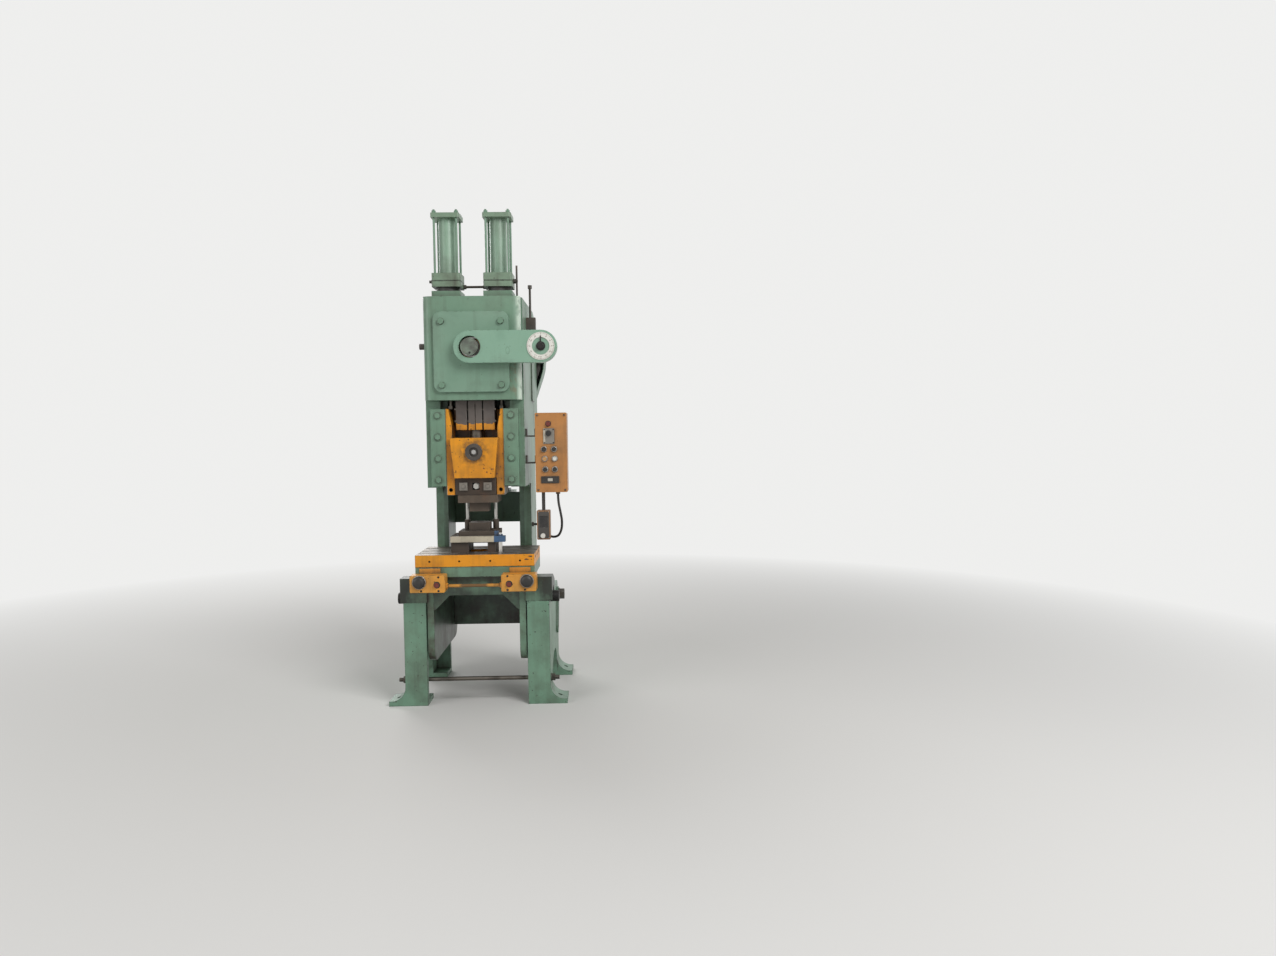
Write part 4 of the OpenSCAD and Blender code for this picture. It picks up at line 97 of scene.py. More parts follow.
# %% [markdown]
# Shader maths reads best as arithmetic. Wire wraps one output of a node tree, and the operators
# that are used below each add a Math node, so 1 - mask or mask * 0.4 can be written as they are.

# %% Wires
def plug(tree, socket, value):
    """Gives a socket a link or a plain value."""
    if isinstance(value, Wire):
        tree.links.new(value.socket, socket)
    elif isinstance(value, tuple) and len(value) == 3 and socket.type == "RGBA":
        socket.default_value = (*value, 1.0)
    else:
        socket.default_value = value


class Wire:
    """An output of a node, on which sums can be written."""

    def __init__(self, tree, socket):
        self.tree = tree
        self.socket = socket

    def maths(self, operation, first, second=None):
        node = self.tree.nodes.new("ShaderNodeMath")
        node.operation = operation
        plug(self.tree, node.inputs[0], first)
        if second is not None:
            plug(self.tree, node.inputs[1], second)
        return Wire(self.tree, node.outputs[0])

    def __add__(self, other):
        return self.maths("ADD", self, other)

    __radd__ = __add__

    def __sub__(self, other):
        return self.maths("SUBTRACT", self, other)

    def __rsub__(self, other):
        return self.maths("SUBTRACT", other, self)

    def __mul__(self, other):
        return self.maths("MULTIPLY", self, other)

    __rmul__ = __mul__

    def __gt__(self, other):
        return self.maths("GREATER_THAN", self, other)

    def __lt__(self, other):
        return self.maths("LESS_THAN", self, other)

    def largest(self, other):
        return self.maths("MAXIMUM", self, other)

    def size(self):
        return self.maths("ABSOLUTE", self)

# %% [markdown]
# A workbench holds one node tree while it is built. Its method add makes any node: the settings
# go in first, such as an operation, and then the values or wires of its sockets. Its method end
# closes the tree. The same bench serves the materials and the Geometry Nodes further down.

# %% Workbench
class Bench:
    """A node tree that is being put together."""

    def __init__(self, tree):
        self.tree = tree

    def add(self, kind, sockets=None, out=0, **settings):
        node = self.tree.nodes.new(kind)
        for name, value in settings.items():
            setattr(node, name, value)
        for name, value in (sockets or {}).items():
            plug(self.tree, node.inputs[name], value)
        return Wire(self.tree, node.outputs[out])

    def end(self, kind, label, last):
        """Closes the tree with its output node."""
        self.tree.links.new(last.socket, self.tree.nodes.new(kind).inputs[label])

# %% [markdown]
# A coat is what a spot of surface is made of: its colour, how rough it is, how much of a metal it
# is, and how far it stands up, in millimetres. A finish lays one coat over another through a mask,
# and only at the end turns the last coat into a shader with a single bump. So a chip can change
# colour, gloss and height in one line.

# %% Coats and finishes
MILLIMETRE = 0.001
COAT_ROUGH = 0.2
RAY_SAMPLES = 4
RIM_STARTS, RIM_FULL = 0.015, 0.16


class Coat:
    """What a surface is made of at each spot."""

    def __init__(self, colour, rough, metal=0.0, height=0.0):
        self.colour = colour
        self.rough = rough
        self.metal = metal
        self.height = height


class Finish(Bench):
    """A procedural material that is being put together."""

    def __init__(self, name, edge=0.004, reach=0.06):
        self.material = bpy.data.materials.new(name)
        self.material.use_nodes = True
        super().__init__(self.material.node_tree)
        self.tree.nodes.clear()
        self.place = self.add("ShaderNodeTexCoord", out="Object")
        split = self.tree.nodes.new("ShaderNodeSeparateXYZ")
        self.tree.links.new(self.place.socket, split.inputs[0])
        self.x, self.y, self.z = (Wire(self.tree, socket) for socket in split.outputs)
        self.soft = self.add("ShaderNodeBevel", {"Radius": edge}, samples=RAY_SAMPLES)
        self.reach = reach

    def rim(self):
        """How sharply the surface turns here: 0 on a flat face, 1 on an edge."""
        true = self.add("ShaderNodeNewGeometry", out="Normal")
        along = self.add("ShaderNodeVectorMath", {0: self.soft, 1: true}, "Value",
                         operation="DOT_PRODUCT")
        return self.ramp(1 - along, RIM_STARTS, RIM_FULL)

    def corner(self):
        """How shut in the surface is: 0 in the open, 1 deep in a corner."""
        return 1 - self.add("ShaderNodeAmbientOcclusion", {"Distance": self.reach}, "AO",
                            samples=RAY_SAMPLES, only_local=True)

    def noise(self, scale, detail=3.0, stretch=None, roughness=0.55):
        at = self.place
        if stretch:
            at = self.add("ShaderNodeVectorMath", {0: self.place, 1: stretch},
                          operation="MULTIPLY")
        sockets = {"Vector": at, "Scale": scale, "Detail": detail, "Roughness": roughness}
        return self.add("ShaderNodeTexNoise", sockets, "Fac")

    def ramp(self, value, low, high):
        """0 below low, 1 above high, and an even rise between them."""
        return self.add("ShaderNodeMapRange",
                        {"Value": value, "From Min": low, "From Max": high}, clamp=True)

    def patches(self, scale, detail, low, high, **how):
        """Noise that is 0 below one level and 1 above the other."""
        return self.ramp(self.noise(scale, detail, **how), low, high)

    def within(self, value, low, high):
        """1 where a value lies between two limits."""
        return (value > low) * (value < high)

    def disc(self, across, along, middle, radius):
        """1 inside a circle that is drawn on two of the coordinates."""
        a, b = across - middle[0], along - middle[1]
        return a * a + b * b < radius * radius

    def mix(self, share, first, second):
        node = self.tree.nodes.new("ShaderNodeMix")
        node.data_type = "RGBA"
        colours = [socket for socket in node.inputs if socket.type == "RGBA"]
        for socket, value in zip((node.inputs[0], *colours), (share, first, second)):
            plug(self.tree, socket, value)
        return Wire(self.tree, next(socket for socket in node.outputs if socket.type == "RGBA"))

    def between(self, share, first, second):
        """A number that goes from one value to another."""
        return first if first is second else first + (second - first) * share

    def lay(self, share, under, over):
        """One coat over another, where share is 1."""
        return Coat(self.mix(share, under.colour, over.colour),
                    self.between(share, under.rough, over.rough),
                    self.between(share, under.metal, over.metal),
                    self.between(share, under.height, over.height))

    def done(self, coat, coat_weight=0.0):
        """Turns the last coat into the material's shader."""
        relief = self.add("ShaderNodeBump",
                          {"Height": coat.height, "Distance": MILLIMETRE, "Strength": 1.0,
                           "Normal": self.soft})
        sockets = {"Base Color": coat.colour, "Roughness": coat.rough, "Metallic": coat.metal,
                   "Normal": relief, "Coat Weight": coat_weight,
                   "Coat Roughness": COAT_ROUGH}
        shader = self.add("ShaderNodeBsdfPrincipled", sockets)
        self.end("ShaderNodeOutputMaterial", "Surface", shader)
        return self.material

# %% [markdown]
# The paint on an old press is several things at once. The gloss coat has a slight orange peel and
# has faded in patches. Hands and rags have rubbed its edges pale, and these pale rims also serve
# as painted highlights. Steel sheets have knocked dots and rims of it off, down to the iron. Oil
# has run down it and dried brown in runs and smudges. The same brown makes each part darker
# towards its foot, and darkens its corners as painted shade as well as oil. Each is one coat over
# the last. The levels say how high the noise must reach before the paint is gone.

# %% Shop paint
IRON_UNDER_PAINT = (0.026, 0.021, 0.018)
RED_PRIMER = (0.115, 0.034, 0.018)
DRIED_OIL = (0.046, 0.036, 0.023)
PEEL_HEIGHT, PRIMER_DEPTH, CHIP_HEIGHT = 0.035, 0.05, -0.16
CHIP_LEVELS, PRIMER_LEVELS, LEVEL_PER_CHIPS = (0.705, 0.712), (0.688, 0.697), 0.035
DRIP = (1.0, 1.0, 0.05)


def paint(f, colour, faded, chips=0.5, grime=0.5, gloss=0.34, low=0.0, primer=0.25):
    """Gloss paint over cast iron, with its wear, its dirt, painted shade in corners and painted
    highlights on its edges.
    """
    rim, corner = f.rim(), f.corner()
    cloud, speck = f.noise(9.0, 5.0), f.noise(58.0, 5.0, roughness=0.66)
    coat = Coat(colour, gloss, 0.0, f.noise(160.0, 2.0) * PEEL_HEIGHT)
    pale = Coat(faded, gloss + 0.14, 0.0, coat.height)
    coat = f.lay(f.patches(2.1, 4.0, 0.40, 0.66) * 0.75, coat, pale)
    deep = Coat(tuple(v * 0.66 for v in colour), gloss + 0.05, 0.0, coat.height)
    coat = f.lay(f.ramp(cloud, 0.50, 0.78) * 0.35, coat, deep)
    # The pale rims are rubbed paint and painted highlight together.
    rubbed = Coat(tuple(min(0.9, v * 1.35 + 0.03) for v in faded), 0.30, 0.0, coat.height)
    coat = f.lay(rim * f.patches(14.0, 4.0, 0.38, 0.60) * 0.75, coat, rubbed)
    runs = f.patches(24.0, 5.0, 0.50, 0.72, stretch=DRIP)
    foot = f.ramp(f.z, low + 0.55, low) * f.ramp(cloud, 0.36, 0.62)
    smudge = f.patches(4.2, 7.0, 0.50, 0.72, roughness=0.66)
    # The corner term is painted shade as well as oil; the foot term only makes each part darker
    # towards the bottom.
    soil_and_shade = (corner * (1.1 + cloud) + runs * 0.36 + foot * 0.6 + smudge * 0.5) * grime
    coat = f.lay(f.ramp(soil_and_shade, 0.04, 0.85), coat, Coat(DRIED_OIL, 0.48, 0.0, coat.height))
    edge_chips = rim * f.ramp(f.noise(31.0, 5.0, roughness=0.62),
                              0.63 - 0.20 * chips, 0.66 - 0.18 * chips)
    dots, rings = (f.ramp(speck, *(level - LEVEL_PER_CHIPS * chips for level in levels))
                   for levels in (CHIP_LEVELS, PRIMER_LEVELS))
    coat = f.lay(rings * primer, coat, Coat(RED_PRIMER, 0.55, 0.0, coat.height - PRIMER_DEPTH))
    return f.lay(edge_chips.largest(dots), coat, Coat(IRON_UNDER_PAINT, 0.46, 0.30, CHIP_HEIGHT))


GREEN = (0.134, 0.246, 0.166), (0.186, 0.298, 0.208)
YELLOW = (0.760, 0.288, 0.006), (0.780, 0.335, 0.016)
PALE_YELLOW = (0.700, 0.300, 0.034), (0.740, 0.380, 0.080)
TAN = (0.440, 0.185, 0.048), (0.500, 0.235, 0.075)
TEAL = (0.050, 0.118, 0.112), (0.070, 0.140, 0.130)
WHITE = (0.780, 0.770, 0.720), (0.700, 0.680, 0.600)
CREAM = (0.560, 0.500, 0.380), (0.480, 0.430, 0.330)
BLUE = (0.045, 0.110, 0.225), (0.070, 0.140, 0.240)


def painted(name, colours, coat_weight=0.12, edge=0.004, **wear):
    f = Finish(name, edge)
    return f.done(paint(f, *colours, **wear), coat_weight)


green_paint = painted("green_paint", GREEN, chips=0.55, grime=0.62)
motor_paint = painted("motor_paint", TEAL, chips=0.5, grime=0.7, low=1.0)
white_paint = painted("white_paint", WHITE, chips=0.1, grime=0.3, low=-2.0, edge=0.001)
print("plain paints:", [m.name for m in bpy.data.materials if m.name.endswith("_paint")])

# %% [markdown]
# Bare metals differ by how they were cut. Turned and ground steel shows fine lines, cast iron has
# a sandy skin that drinks oil, and the guide posts are polished like a mirror. Moulded parts have
# one colour through and through, with dust in their corners. The lines of cut steel are noise that
# is squeezed along one axis.

# %% Metals and plastics
RUST = (0.110, 0.052, 0.026)
BLACK_OIL = (0.010, 0.009, 0.007)
RUBBED_IRON = (0.34, 0.32, 0.29)
LINES_ON_X, LINES_ON_Y, LINES_ON_Z = (30.0, 1.0, 1.0), (1.0, 30.0, 1.0), (1.0, 1.0, 30.0)
NO_LINES = (1.0, 1.0, 1.0)


def steel(f, colour, rough=0.32, lines=LINES_ON_Z, stain=0.35):
    """Cut or ground metal with fine lines and thumbed oil stains."""
    cut, oil = f.noise(90.0, 3.0, stretch=lines), f.patches(16.0, 5.0, 0.44, 0.70)
    bare = Coat(colour, rough + 0.12 * cut, 1.0, cut * 0.04)
    stained = Coat(tuple(v * 0.22 for v in colour), rough + 0.16, 0.7, bare.height)
    return f.lay(oil * stain, bare, stained)


def iron(f, colour, rough=0.50, metal=0.5, rust=0.4, rubbed=0.75):
    """Sand-cast or scaled iron, dark with old oil and painted shade in corners, and bright where
    it has been rubbed.
    """
    rim, corner, cloud = f.rim(), f.corner(), f.noise(12.0, 5.0)
    skin = f.noise(240.0, 4.0, roughness=0.7)
    coat = Coat(colour, rough + 0.10 * skin, metal, skin * 0.14)
    soaked = Coat(tuple(v * 0.45 for v in colour), rough - 0.12, metal, coat.height)
    coat = f.lay(f.ramp(cloud, 0.42, 0.70) * 0.6, coat, soaked)
    coat = f.lay(f.patches(8.0, 6.0, 0.54, 0.74) * rust, coat,
                 Coat(RUST, 0.65, 0.1, coat.height))
    # The black in corners is old oil and painted shade together.
    coat = f.lay(corner * 0.7, coat, Coat(BLACK_OIL, 0.42, 0.1, coat.height))
    worn = rim * f.patches(36.0, 3.0, 0.38, 0.60)
    return f.lay(worn * rubbed, coat, Coat(RUBBED_IRON, 0.34, 0.9, coat.height))


def moulded(f, colour, rough=0.38, dust=(0.15, 0.13, 0.11), dusty=0.3):
    """Moulded plastic or rubber with grain and dust."""
    cloud, grain = f.patches(30.0, 4.0, 0.40, 0.75), f.noise(420.0, 3.0) * 0.03
    share = (f.corner() + 0.5 * cloud) * dusty
    return f.lay(share, Coat(colour, rough, 0.0, grain), Coat(dust, rough + 0.2, 0.0, grain))


def of_one(name, kind, colour, edge=0.002, reach=0.05, **how):
    """A material of one kind of coat."""
    f = Finish(name, edge, reach)
    return f.done(kind(f, colour, **how))


bare_steel = of_one("bare_steel", steel, (0.46, 0.45, 0.43))
bright_steel = of_one("bright_steel", steel, (0.46, 0.45, 0.42), rough=0.16, stain=0.25)
bronze = of_one("bronze", steel, (0.50, 0.33, 0.14), rough=0.30, stain=0.5)
dark_iron = of_one("dark_iron", iron, (0.085, 0.074, 0.064))
wheel_iron = of_one("wheel_iron", iron, (0.075, 0.070, 0.064), rough=0.46)
shoe_iron = of_one("shoe_iron", iron, (0.105, 0.078, 0.056), rust=0.8, metal=0.25, rough=0.58)
oily_steel = of_one("oily_steel", steel, (0.150, 0.135, 0.115), rough=0.36, stain=0.8)
pointer_black = of_one("pointer_black", iron, (0.022, 0.021, 0.020), rust=0.1, rubbed=0.5)
black_plastic = of_one("black_plastic", moulded, (0.020, 0.019, 0.018), edge=0.0015, reach=0.02)
red_plastic = of_one("red_plastic", moulded, (0.150, 0.022, 0.014), rough=0.28, reach=0.02)
knob_white = of_one("knob_white", moulded, (0.720, 0.700, 0.640), rough=0.35, dusty=0.2)
black_rubber = of_one("black_rubber", moulded, (0.018, 0.017, 0.016), rough=0.60, dusty=0.45)
print("materials:", len(bpy.data.materials))

# %% [markdown]
# Every piece of the press has a slot in its record, so most finishes follow from a short table.
# The pieces that carry more than one finish get their own after it.

# %% Finish of each slot
finish_of = {
    "green_paint": green_paint, "teal_paint": motor_paint, "white_paint": white_paint,
    "dark_iron": dark_iron, "steel": bare_steel, "chrome_steel": bright_steel, "bronze": bronze,
    "black_plastic": black_plastic, "red_plastic": red_plastic, "rubber": black_rubber}


def dress(nodes, material):
    """Gives carried-over pieces their material; spaces part their names."""
    for node in nodes.split():
        mesh = frame["nodes"][node].data
        mesh.materials.clear()
        mesh.materials.append(material)


for node, slot in slot_of.items():
    if slot in finish_of:
        dress(node, finish_of[slot])
dress("flywheel clutch_disc motor_pulley", wheel_iron)
dress("adjusting_screw balancer_rods rod_bolts tie_rod", oily_steel)
dress("pivot_pins dial_pointer", pointer_black)
dress("upper_die", shoe_iron)
dress("switch_knob", knob_white)
dress("drive_belts", black_rubber)
print("pieces with a slot:", len(slot_of))

# %% [markdown]
# The frame is the same green all over, but it is not evenly dark. The throat and the bed's inside
# are painted dark in patches, as painted shade in these shut-in places, and the shoulders over the
# legs are painted nearly black. On the crown, one rounded front corner carries a painted
# highlight, pale and glossy. Masks on the object's own coordinates say where, because every piece
# is drawn where it stands. Places are in metres.

# %% Frame, crown and legs
PLATE_GAP_HALF = 0.2465
SHOULDER_X, SHOULDER_Z = (0.30, 0.42), (0.59, 0.745)
THROAT_FRONT_Y, THROAT_Z = -0.03, (0.70, 1.25)
BED_INSIDE_TOP = 0.75


def grease(f, coat, share):
    """A black grease coat over whatever is there, used for real grease and for painted shade."""
    return f.lay(share, coat, Coat((0.012, 0.011, 0.009), 0.36, 0.0, f.noise(70.0, 3.0) * 0.25))


f = Finish("frame_green", 0.005)
coat = paint(f, *GREEN, chips=0.75, grime=0.85, low=0.55)
between_plates = f.x.size() < PLATE_GAP_HALF
shoulder = f.within(f.z, *SHOULDER_Z) * f.ramp(f.x.size(), *SHOULDER_X)
throat = f.within(f.z, *THROAT_Z) * between_plates * (f.y > THROAT_FRONT_Y)
inside = (f.z < BED_INSIDE_TOP) * between_plates
smear = f.patches(11.0, 5.0, 0.34, 0.58)
# Painted shade in the throat and the bed's inside; the shoulders are painted nearly black.
soil_and_shade = (smear + 0.7) * shoulder + smear * throat * 0.5 + (smear + 0.6) * inside * 0.5
dress("side_plates bed", f.done(grease(f, coat, f.ramp(soil_and_shade, 0.0, 1.0) * 0.9), 0.1))

HIGHLIGHT_X, HIGHLIGHT_Y = (0.250, 0.268), -0.325
RUSTY_X, RUSTY_Y, RUSTY_Z = (0.214, 0.252), -0.37, (1.78, 1.97)
ROOM_HALF, ROOM_Y, ROOM_TOP = 0.245, -0.33, 2.31

f = Finish("crown_green", 0.006)
coat = paint(f, *GREEN, chips=0.45, grime=0.5, low=1.4)
# Painted highlight: a pale, glossy band down the crown's right front corner.
painted_highlight = f.ramp(f.x, *HIGHLIGHT_X) * (f.y < HIGHLIGHT_Y) * f.patches(15.0, 4.0, 0.28, 0.50)
coat = f.lay(painted_highlight * 0.9, coat, Coat((0.66, 0.78, 0.66), 0.25, 0.1, -0.04))
rusty = f.within(f.x, *RUSTY_X) * f.within(f.z, *RUSTY_Z) * f.patches(26.0, 6.0, 0.44, 0.60)
coat = f.lay(rusty * (f.y < RUSTY_Y) * 0.6, coat, Coat((0.17, 0.13, 0.075), 0.5, 0.0, coat.height))
inside = (f.x.size() < ROOM_HALF) * (f.z < ROOM_TOP) * (f.y > ROOM_Y)
coat = grease(f, coat, inside * f.patches(8.0, 5.0, 0.30, 0.60) * 0.8)
dress("crown", f.done(coat, 0.15))

LEG_GREEN = (0.140, 0.268, 0.184), (0.190, 0.325, 0.228)
dress("leg_left leg_right", painted("leg_green", LEG_GREEN, chips=1.35, grime=0.5, edge=0.005))
print("frame greens:", [m.name for m in bpy.data.materials if m.name.endswith("_green")])

# %% [markdown]
# The arm over the dial was once knocked by a tool and kept a small oval dent. It shows by its
# shadow alone, so it is a ring of height in the arm's paint and not a cut in its shape; the ring
# is also painted darker, as painted shade. The ring lies between two distances from the dent's
# middle, which are squared, as the mask is.

# %% Arm and end cap
DENT, DENT_NARROWS = (0.213, 2.037), 1.9
DENT_STARTS, DENT_ENDS = (0.00016, 0.00034), (0.00040, 0.00062)
CAP_MIDDLE, CAP_BORE, ARM_FRONT_Y = (0.0, 2.060), 0.0535, -0.4565
CENTRE_HOLE, HOLE_RADIUS = (0.003, 2.026), 0.006
ARM_GREEN = (0.215, 0.375, 0.272), (0.260, 0.410, 0.305)
COVER_GREEN = (0.170, 0.292, 0.208), (0.220, 0.338, 0.250)

f = Finish("arm_green", 0.004)
coat = paint(f, *ARM_GREEN, chips=0.4, grime=0.4, low=1.5)
off = (f.x - DENT[0]) * DENT_NARROWS
far = off * off + (f.z - DENT[1]) * (f.z - DENT[1])
ring = f.ramp(far, *DENT_STARTS) * (1 - f.ramp(far, *DENT_ENDS))
# Painted shade: the dent's ring is painted darker as well as lowered.
coat = f.lay(ring * 0.45, coat, Coat((0.120, 0.215, 0.150), 0.45, 0.0, coat.height - 0.9))
# Painted shade: a near-black disc on the arm round the end cap stands for the gap about it.
cap_gap_shade = f.disc(f.x, f.z, CAP_MIDDLE, CAP_BORE) * (f.y < ARM_FRONT_Y)
coat = f.lay(cap_gap_shade, coat, Coat((0.012, 0.013, 0.011), 0.45, 0.0, -0.3))
dress("arm_case", f.done(coat, 0.15))

f = Finish("end_cap_iron", 0.003)
left_paint = Coat((0.215, 0.280, 0.215), 0.42, 0.1, f.noise(60.0, 4.0) * 0.2)
coat = f.lay(f.patches(20.0, 5.0, 0.36, 0.62) * 0.75, iron(f, (0.105, 0.105, 0.092)),
             left_paint)
# Painted shade: the cap's small centre hole is a near-black disc with a dip, not a cut.
centre_hole_shade = f.disc(f.x, f.z, CENTRE_HOLE, HOLE_RADIUS)
coat = f.lay(centre_hole_shade, coat, Coat((0.01, 0.01, 0.01), 0.8, 0.0, -1.0))
dress("crank_end_cap", f.done(coat))
dress("front_cover", painted("cover_green", COVER_GREEN, chips=0.4, grime=0.4, low=1.4))
print("dent at:", DENT)

# %% [markdown]
# The slide is painted yellow where it shows and bare steel where it runs: on its two tongues and
# on its underside. The connecting rod above it is the other way round, dark iron with yellow
# splashed on its feet when the slide was painted in place.

# %% Slide and rod
TONGUE_X, SLIDE_FOOT_Z, WAYS_Y = 0.1655, 1.2158, -0.141
HUB_Z, HUB_SQUARED = 1.465, (0.0036, 0.0110)
KNOCKED_X, KNOCKED_Z = (0.05, 0.13), (1.33, 1.40)
POCKET_HALF, POCKET_Y, POCKET_Z = 0.150, -0.318, 1.548
SPLASH_Z = 1.628

f = Finish("slide_yellow", 0.004)
coat = paint(f, *YELLOW, chips=1.25, grime=0.5, low=1.15, primer=0.7)
hub = 1 - f.ramp(f.x * f.x + (f.z - HUB_Z) * (f.z - HUB_Z), *HUB_SQUARED)
coat = f.lay(hub * f.patches(30.0, 4.0, 0.40, 0.60) * 0.6, coat,
             Coat(DRIED_OIL, 0.4, 0.0, coat.height))
knocked = f.within(f.x, *KNOCKED_X) * f.within(f.z, *KNOCKED_Z)
coat = f.lay(knocked * f.patches(48.0, 5.0, 0.60, 0.63), coat,
             Coat((0.09, 0.02, 0.012), 0.5, 0.0, -0.15))
ways = (f.x.size() > TONGUE_X).largest(f.z < SLIDE_FOOT_Z).largest(f.y > WAYS_Y)
coat = f.lay(ways, coat, steel(f, (0.34, 0.32, 0.29), 0.34, LINES_ON_Y, 0.7))
pocket = (f.z > POCKET_Z) * (f.y > POCKET_Y) * (f.x.size() < POCKET_HALF)
coat = grease(f, coat, pocket * f.patches(9.0, 4.0, 0.30, 0.55) * 0.8)
dress("slide", f.done(coat))

f = Finish("rod_iron", 0.004)
bare = iron(f, (0.130, 0.112, 0.102), rust=0.35, metal=0.5)
splash = paint(f, *YELLOW, chips=1.4, grime=0.8, low=1.4, primer=0.5)
edge_of_paint = SPLASH_Z + (f.noise(22.0, 4.0) - 0.5) * 0.06
dress("connecting_rod", f.done(f.lay(f.z < edge_of_paint, bare, splash)))
print("bare ways from x:", TONGUE_X)

# %% [markdown]
# Each gib is held by four large bolts. A dark disc round each washer is the painted shadow of the
# bolt, heaviest below it, so the disc's mask is a little lower than the bolt is.

# %% Gibs
GIB_BOLT_X = 0.2108
GIB_BOLT_Z = (1.305, 1.429, 1.553, 1.677)
GIB_FRONT_Y = -0.3294
BOLT_SHADOW_RADIUS, BOLT_SHADOW_DROP = 0.0235, 0.002

f = Finish("gib_green", 0.003)
coat = paint(f, *GREEN, chips=0.5, grime=0.55, low=1.1)
# Painted shadow: a dark disc just below each bolt, where its head and washer cast shade.
bolt_shadow = sum(f.disc(f.x.size(), f.z, (GIB_BOLT_X, z - BOLT_SHADOW_DROP), BOLT_SHADOW_RADIUS) for z in GIB_BOLT_Z)
coat = f.lay(bolt_shadow * (f.y < GIB_FRONT_Y) * 0.92, coat,
             Coat((0.020, 0.024, 0.018), 0.4, 0.0, coat.height))
dress("gibs", f.done(coat, 0.1))
print("gib bolts:", 2 * len(GIB_BOLT_Z))

# %% [markdown]
# The bolster is yellow on its four sides, and its top and T-slots are ground steel that is never
# quite free of oil. Masks with the slots' own places keep the paint out of them.

# %% Bolster
SLOT_ROWS = (-0.355, -0.235, -0.115)
SLOT_HALF, SLOT_FOOT_Z, SLOT_END_X = 0.0168, 0.8472, 0.3398
BOLSTER_TOP_Z, BOLSTER_FRONT_Y = 0.8796, -0.4285
SCUFF_X, SCUFF_Z = (0.284, 0.327), (0.846, 0.870)

f = Finish("bolster_yellow", 0.003)
coat = paint(f, *YELLOW, chips=0.95, grime=0.45, low=0.5, primer=0.4)
scuff = f.within(f.x, *SCUFF_X) * (f.y < BOLSTER_FRONT_Y) * f.patches(46.0, 4.0, 0.44, 0.50)
coat = f.lay(scuff * f.within(f.z, *SCUFF_Z), coat, Coat((0.035, 0.03, 0.025), 0.5, 0.2, -0.1))
slots = sum(f.within(f.y, row - SLOT_HALF, row + SLOT_HALF) for row in SLOT_ROWS)
in_slots = slots * (f.z > SLOT_FOOT_Z) * (f.x.size() < SLOT_END_X)
cut_faces = (f.z > BOLSTER_TOP_Z).largest(in_slots)
top = f.lay(f.patches(13.0, 6.0, 0.40, 0.66) * 0.85,
            steel(f, (0.24, 0.21, 0.18), 0.38, LINES_ON_X, 0.6),
            Coat((0.040, 0.030, 0.022), 0.34, 0.35, 0.0))
dress("bolster", f.done(f.lay(cut_faces, coat, top)))
print("slots at y:", SLOT_ROWS)

# %% [markdown]
# The die set below the slide is a patchwork of makers: an iron shoe, a cream strap, a blue heel
# block with a bright post through it, and a light clamp above with a bolt in a window, whose
# inside is painted near-black as painted shade. Each is a box or a disc in the same piece, so each
# has its own limits.

# %% Dies
SHOE_TOP_Z = 0.9415
STRAP_END_X, STRAP_FRONT_Y, STRAP_TOP_Z = 0.1022, -0.3295, 0.9775
HEEL_X, HEEL_Y = 0.1018, -0.309
POST, POST_RADIUS, POST_HIDDEN_Z = (0.136, -0.331), 0.0126, (0.9420, 0.9768)
PAD_X, PAD_FRONT_Y = (0.046, 0.094), -0.3262
WINDOW_HALF, WINDOW_Y, WINDOW_Z = 0.0206, (-0.3257, -0.290), (1.2444, 1.2856)
BOLT, BOLT_RADIUS, BOLT_Y = (0.0, 1.265), 0.0185, (-0.3192, -0.2995)

f = Finish("lower_die_set", 0.002, 0.03)
shoe = iron(f, (0.072, 0.054, 0.040), rust=0.5, metal=0.2, rough=0.58)
strap = (f.y < STRAP_FRONT_Y) * f.within(f.z, SHOE_TOP_Z, STRAP_TOP_Z) * (f.x < STRAP_END_X)
heel = (f.x > HEEL_X) * (f.y < HEEL_Y) * (f.z > SHOE_TOP_Z)
post_shows = (f.z < POST_HIDDEN_Z[0]).largest(f.z > POST_HIDDEN_Z[1])
post = f.disc(f.x, f.y, POST, POST_RADIUS) * post_shows
coat = f.lay(strap, shoe, paint(f, *CREAM, chips=0.5, grime=0.6, low=0.6))
coat = f.lay(heel, coat, paint(f, *BLUE, chips=0.8, grime=0.5, low=0.6))
coat = f.lay(post, coat, steel(f, (0.66, 0.64, 0.60), 0.25, LINES_ON_Z, 0.2))
dress("lower_die", f.done(coat))

f = Finish("shank_clamp_iron", 0.002, 0.03)
pads = (f.y < PAD_FRONT_Y) * f.within(f.x.size(), *PAD_X)
coat = f.lay(pads, iron(f, (0.060, 0.043, 0.032), rust=0.6),
             iron(f, (0.235, 0.215, 0.185), rust=0.35, metal=0.5))
# Painted shade: the inside of the clamp's window is painted near-black.
window_shade = (f.x.size() < WINDOW_HALF) * f.within(f.z, *WINDOW_Z) * f.within(f.y, *WINDOW_Y)
coat = f.lay(window_shade, coat, Coat((0.006, 0.005, 0.005), 0.7, 0.0, 0.0))
middle_bolt = f.disc(f.x, f.z, BOLT, BOLT_RADIUS) * f.within(f.y, *BOLT_Y)
coat = f.lay(middle_bolt, coat, steel(f, (0.50, 0.48, 0.44), 0.3, LINES_ON_Y, 0.3))
dress("shank_clamp", f.done(coat))
print("post at:", POST)

# %% [markdown]
# Each balancer stands on a black packing, so its lower cap is dark at the foot. A thin dark line
# higher up marks the joint between the cap's two halves.

# %% Balancers
PACKING_TOP_Z, SEAM_Z = 2.4163, (2.452, 2.4545)
CAP_GREEN = (0.175, 0.262, 0.180), (0.225, 0.315, 0.225)
TUBE_GREEN = (0.225, 0.365, 0.262), (0.285, 0.410, 0.305)

